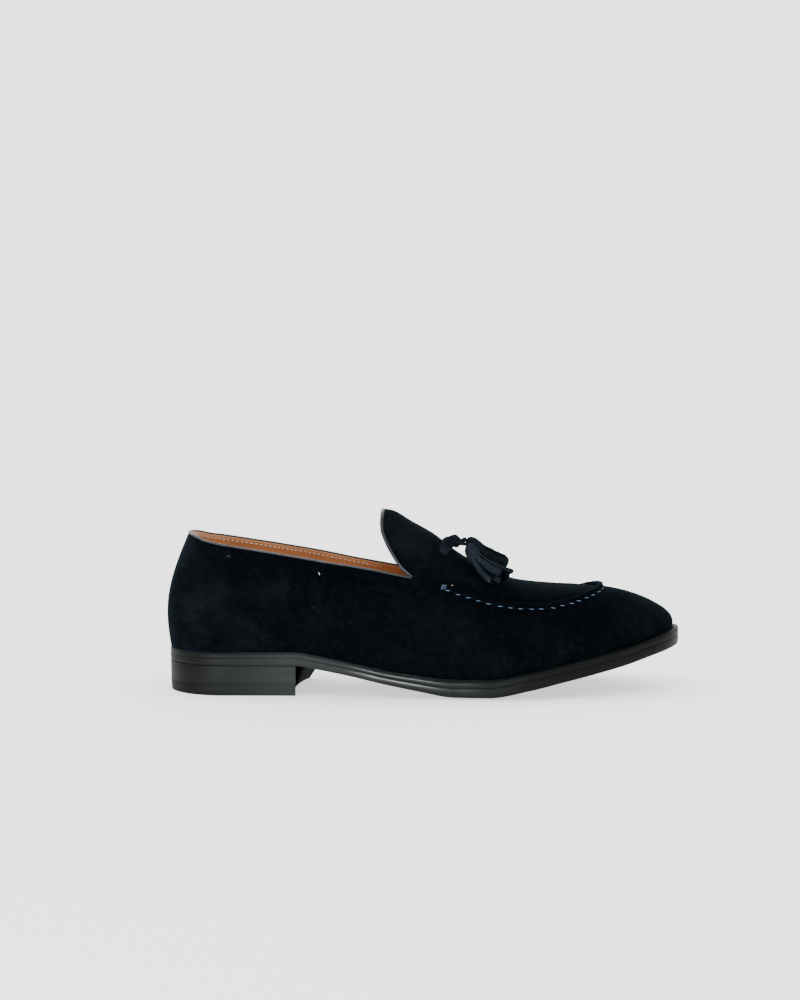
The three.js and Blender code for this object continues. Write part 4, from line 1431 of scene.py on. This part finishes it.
def buildOutsole():
    bevel = sole["bevel"]

    def wall(t):
        return lambda x: mix(treadEdge(x), outsoleTop(x), t)

    def bed(x):
        return outsoleTop(x) + 0.1 + edges["round"]

    # rings run from the middle of the underside round the edge to the middle of the top
    rings = [
        (34, soleUnder), (22, soleUnder), (sole["crownWidth"], soleUnder),
        (6, lambda x: mix(soleUnder(x), treadEdge(x), 0.4)),
        (bevel, treadEdge),
        (0.3 * bevel, lambda x: treadEdge(x) + 0.3 * bevel),
        (0, lambda x: treadEdge(x) + bevel),
        (-0.12, wall(0.4)), (-0.12, wall(0.62)), (-0.08, wall(0.84)),
        (0.05, lambda x: outsoleTop(x) + 0.1), (edges["round"], bed), (14, bed),
    ]
    bm = bmesh.new()
    loop = [(outer, *ring) for ring in rings] + [(inner, *ring) for ring in reversed(rings)]
    layerGrid(bm, loop, spread(0, 1, edges["columns"]))
    closeUp(bm)
    makePiece(bm, "outsole_leather", "outsole", "sole_edge", "outsole")


def buildWelt():
    rings = [
        (lambda s: ledge(s) + sole["weltSeat"], weltUnder),
        (edges["round"], weltUnder),
        (-0.04, lambda x: weltUnder(x) + edges["round"]),
        (-0.1, lambda x: weltUnder(x) + 0.6),
        (-0.08, lambda x: mix(weltUnder(x), weltTop(x), 0.5)),
        (0, lambda x: weltTop(x) - 0.5),
        (0.5, weltTop),
        (lambda s: 0.55 * ledge(s), lambda x: weltTop(x) + 0.05),
        (lambda s: ledge(s) + 0.6, lambda x: weltTop(x) + 0.1),
        (lambda s: ledge(s) + sole["weltSeat"], weltTop),
    ]
    bm = bmesh.new()
    stations = spread(0, 1, 2 * edges["columns"])
    for side in (outer, inner):
        layerGrid(bm, [(side, *ring) for ring in rings], stations)
    closeUp(bm)
    makePiece(bm, "welt_strip", "welt", "welt", "welt")
    # wheel marks: small ribs pressed across the ledge, close to the upper
    bm = bmesh.new()
    run = [(station, side) for side in (outer, inner) for station in spread(0, 1, 2400)]
    points = [insetPoint(station, side, 0.72 * ledge(station)) for station, side in run]
    for i in paced(points, edges["wheelPitch"]):
        station, side = run[i]
        point, foot = points[i], insetPoint(station, side, ledge(station) + 0.3)
        inwards = (foot - point).normalized()
        across = Vector((-inwards.y, inwards.x))
        reach = (foot - point).length
        middle = (foot + point) / 2
        for v in bmesh.ops.create_cube(bm, size=1)["verts"]:
            spot = middle + inwards * v.co.x * reach + across * v.co.y * 0.55
            v.co = place((spot.x, spot.y, weltTop(middle.x) + 0.1 + 0.5 * v.co.z))
    makePiece(bm, "weltWheeling", "wheel", "welt", smooth=False)


def breastX(y, z):
    # the hollow, slanted breast of the heel, whose inner side overhangs its own tread
    start, slant, hollow = sole["breastAt"], sole["breastSlant"], sole["breastHollow"]
    t = clamp(y / heel + 0.5)
    middle = start + slant / 2 - hollow
    control = 2 * middle - start - slant / 2
    curved = (1 - t) ** 2 * start + 2 * t * (1 - t) * control + t * t * (start + slant)
    return curved - sole["breastLean"] * t * (1 - z / sole["heelHeight"])


def heelCourse(name, bottom, topAt, insets, look, slot, node):
    # one course of the heel: its plan outline filled, drawn up to the next course, edges broken
    half = heel / 2

    def outline(inset, height):
        level = height(sole["breastAt"])
        near, far = stationAt(breastX(-half, level)), stationAt(breastX(half, level))
        points = [insetPoint(station, outer, inset) for station in spread(near, 0, 60)]
        points += [insetPoint(station, inner, inset) for station in spread(0, far, 60)[1:]]
        ends = points[-1].y, points[0].y
        points += [Vector((breastX(y, level), y)) for y in spread(*ends, 24)[1:-1]]
        return [(p.x, p.y, height(p.x)) for p in points]

    lower = outline(insets[0], lambda x: bottom)
    upper = outline(insets[1], topAt)
    bm = bmesh.new()
    ring = bmesh.ops.create_circle(bm, cap_ends=True, segments=len(lower), radius=1)["verts"]
    for v, spot in zip(ring, lower):
        v.co = place(spot)
    top = bmesh.ops.extrude_face_region(bm, geom=bm.faces[:])["geom"]
    for v, spot in zip([v for v in top if isinstance(v, bmesh.types.BMVert)], upper):
        v.co = place(spot)
    bmesh.ops.recalc_face_normals(bm, faces=bm.faces)
    for face in bm.faces:
        front = face.calc_center_median().x > (sole["breastAt"] - heelMiddle - 6) * mm
        face.material_index = 1 if front and face.normal.x > 0.5 else 0
    rims = [e for f in bm.faces if len(f.verts) > 4 for e in f.edges]
    bmesh.ops.bevel(
        bm, geom=rims, offset=edges["round"] * mm, segments=2, profile=0.5, affect="EDGES",
        material=-1, clamp_overlap=True,
    )
    course = makePiece(bm, name, look, slot, node)
    course.data.set_sharp_from_angle(angle=math.radians(35))
    course.data.materials.append(finish["breast"])


buildOutsole()
buildWelt()
heelCourse("heelStack", sole["lift"], soleUnder, (0.1, 0), "heel", "sole_edge", "heel_block")
heelCourse("heelLift", 0, lambda x: sole["lift"], (0.45, 0.1), "lift", "lift", "top_lift")
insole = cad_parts["insole"]
insole.data.materials.clear()
insole.data.materials.append(finish["lining"])
print("sole and heel are built")
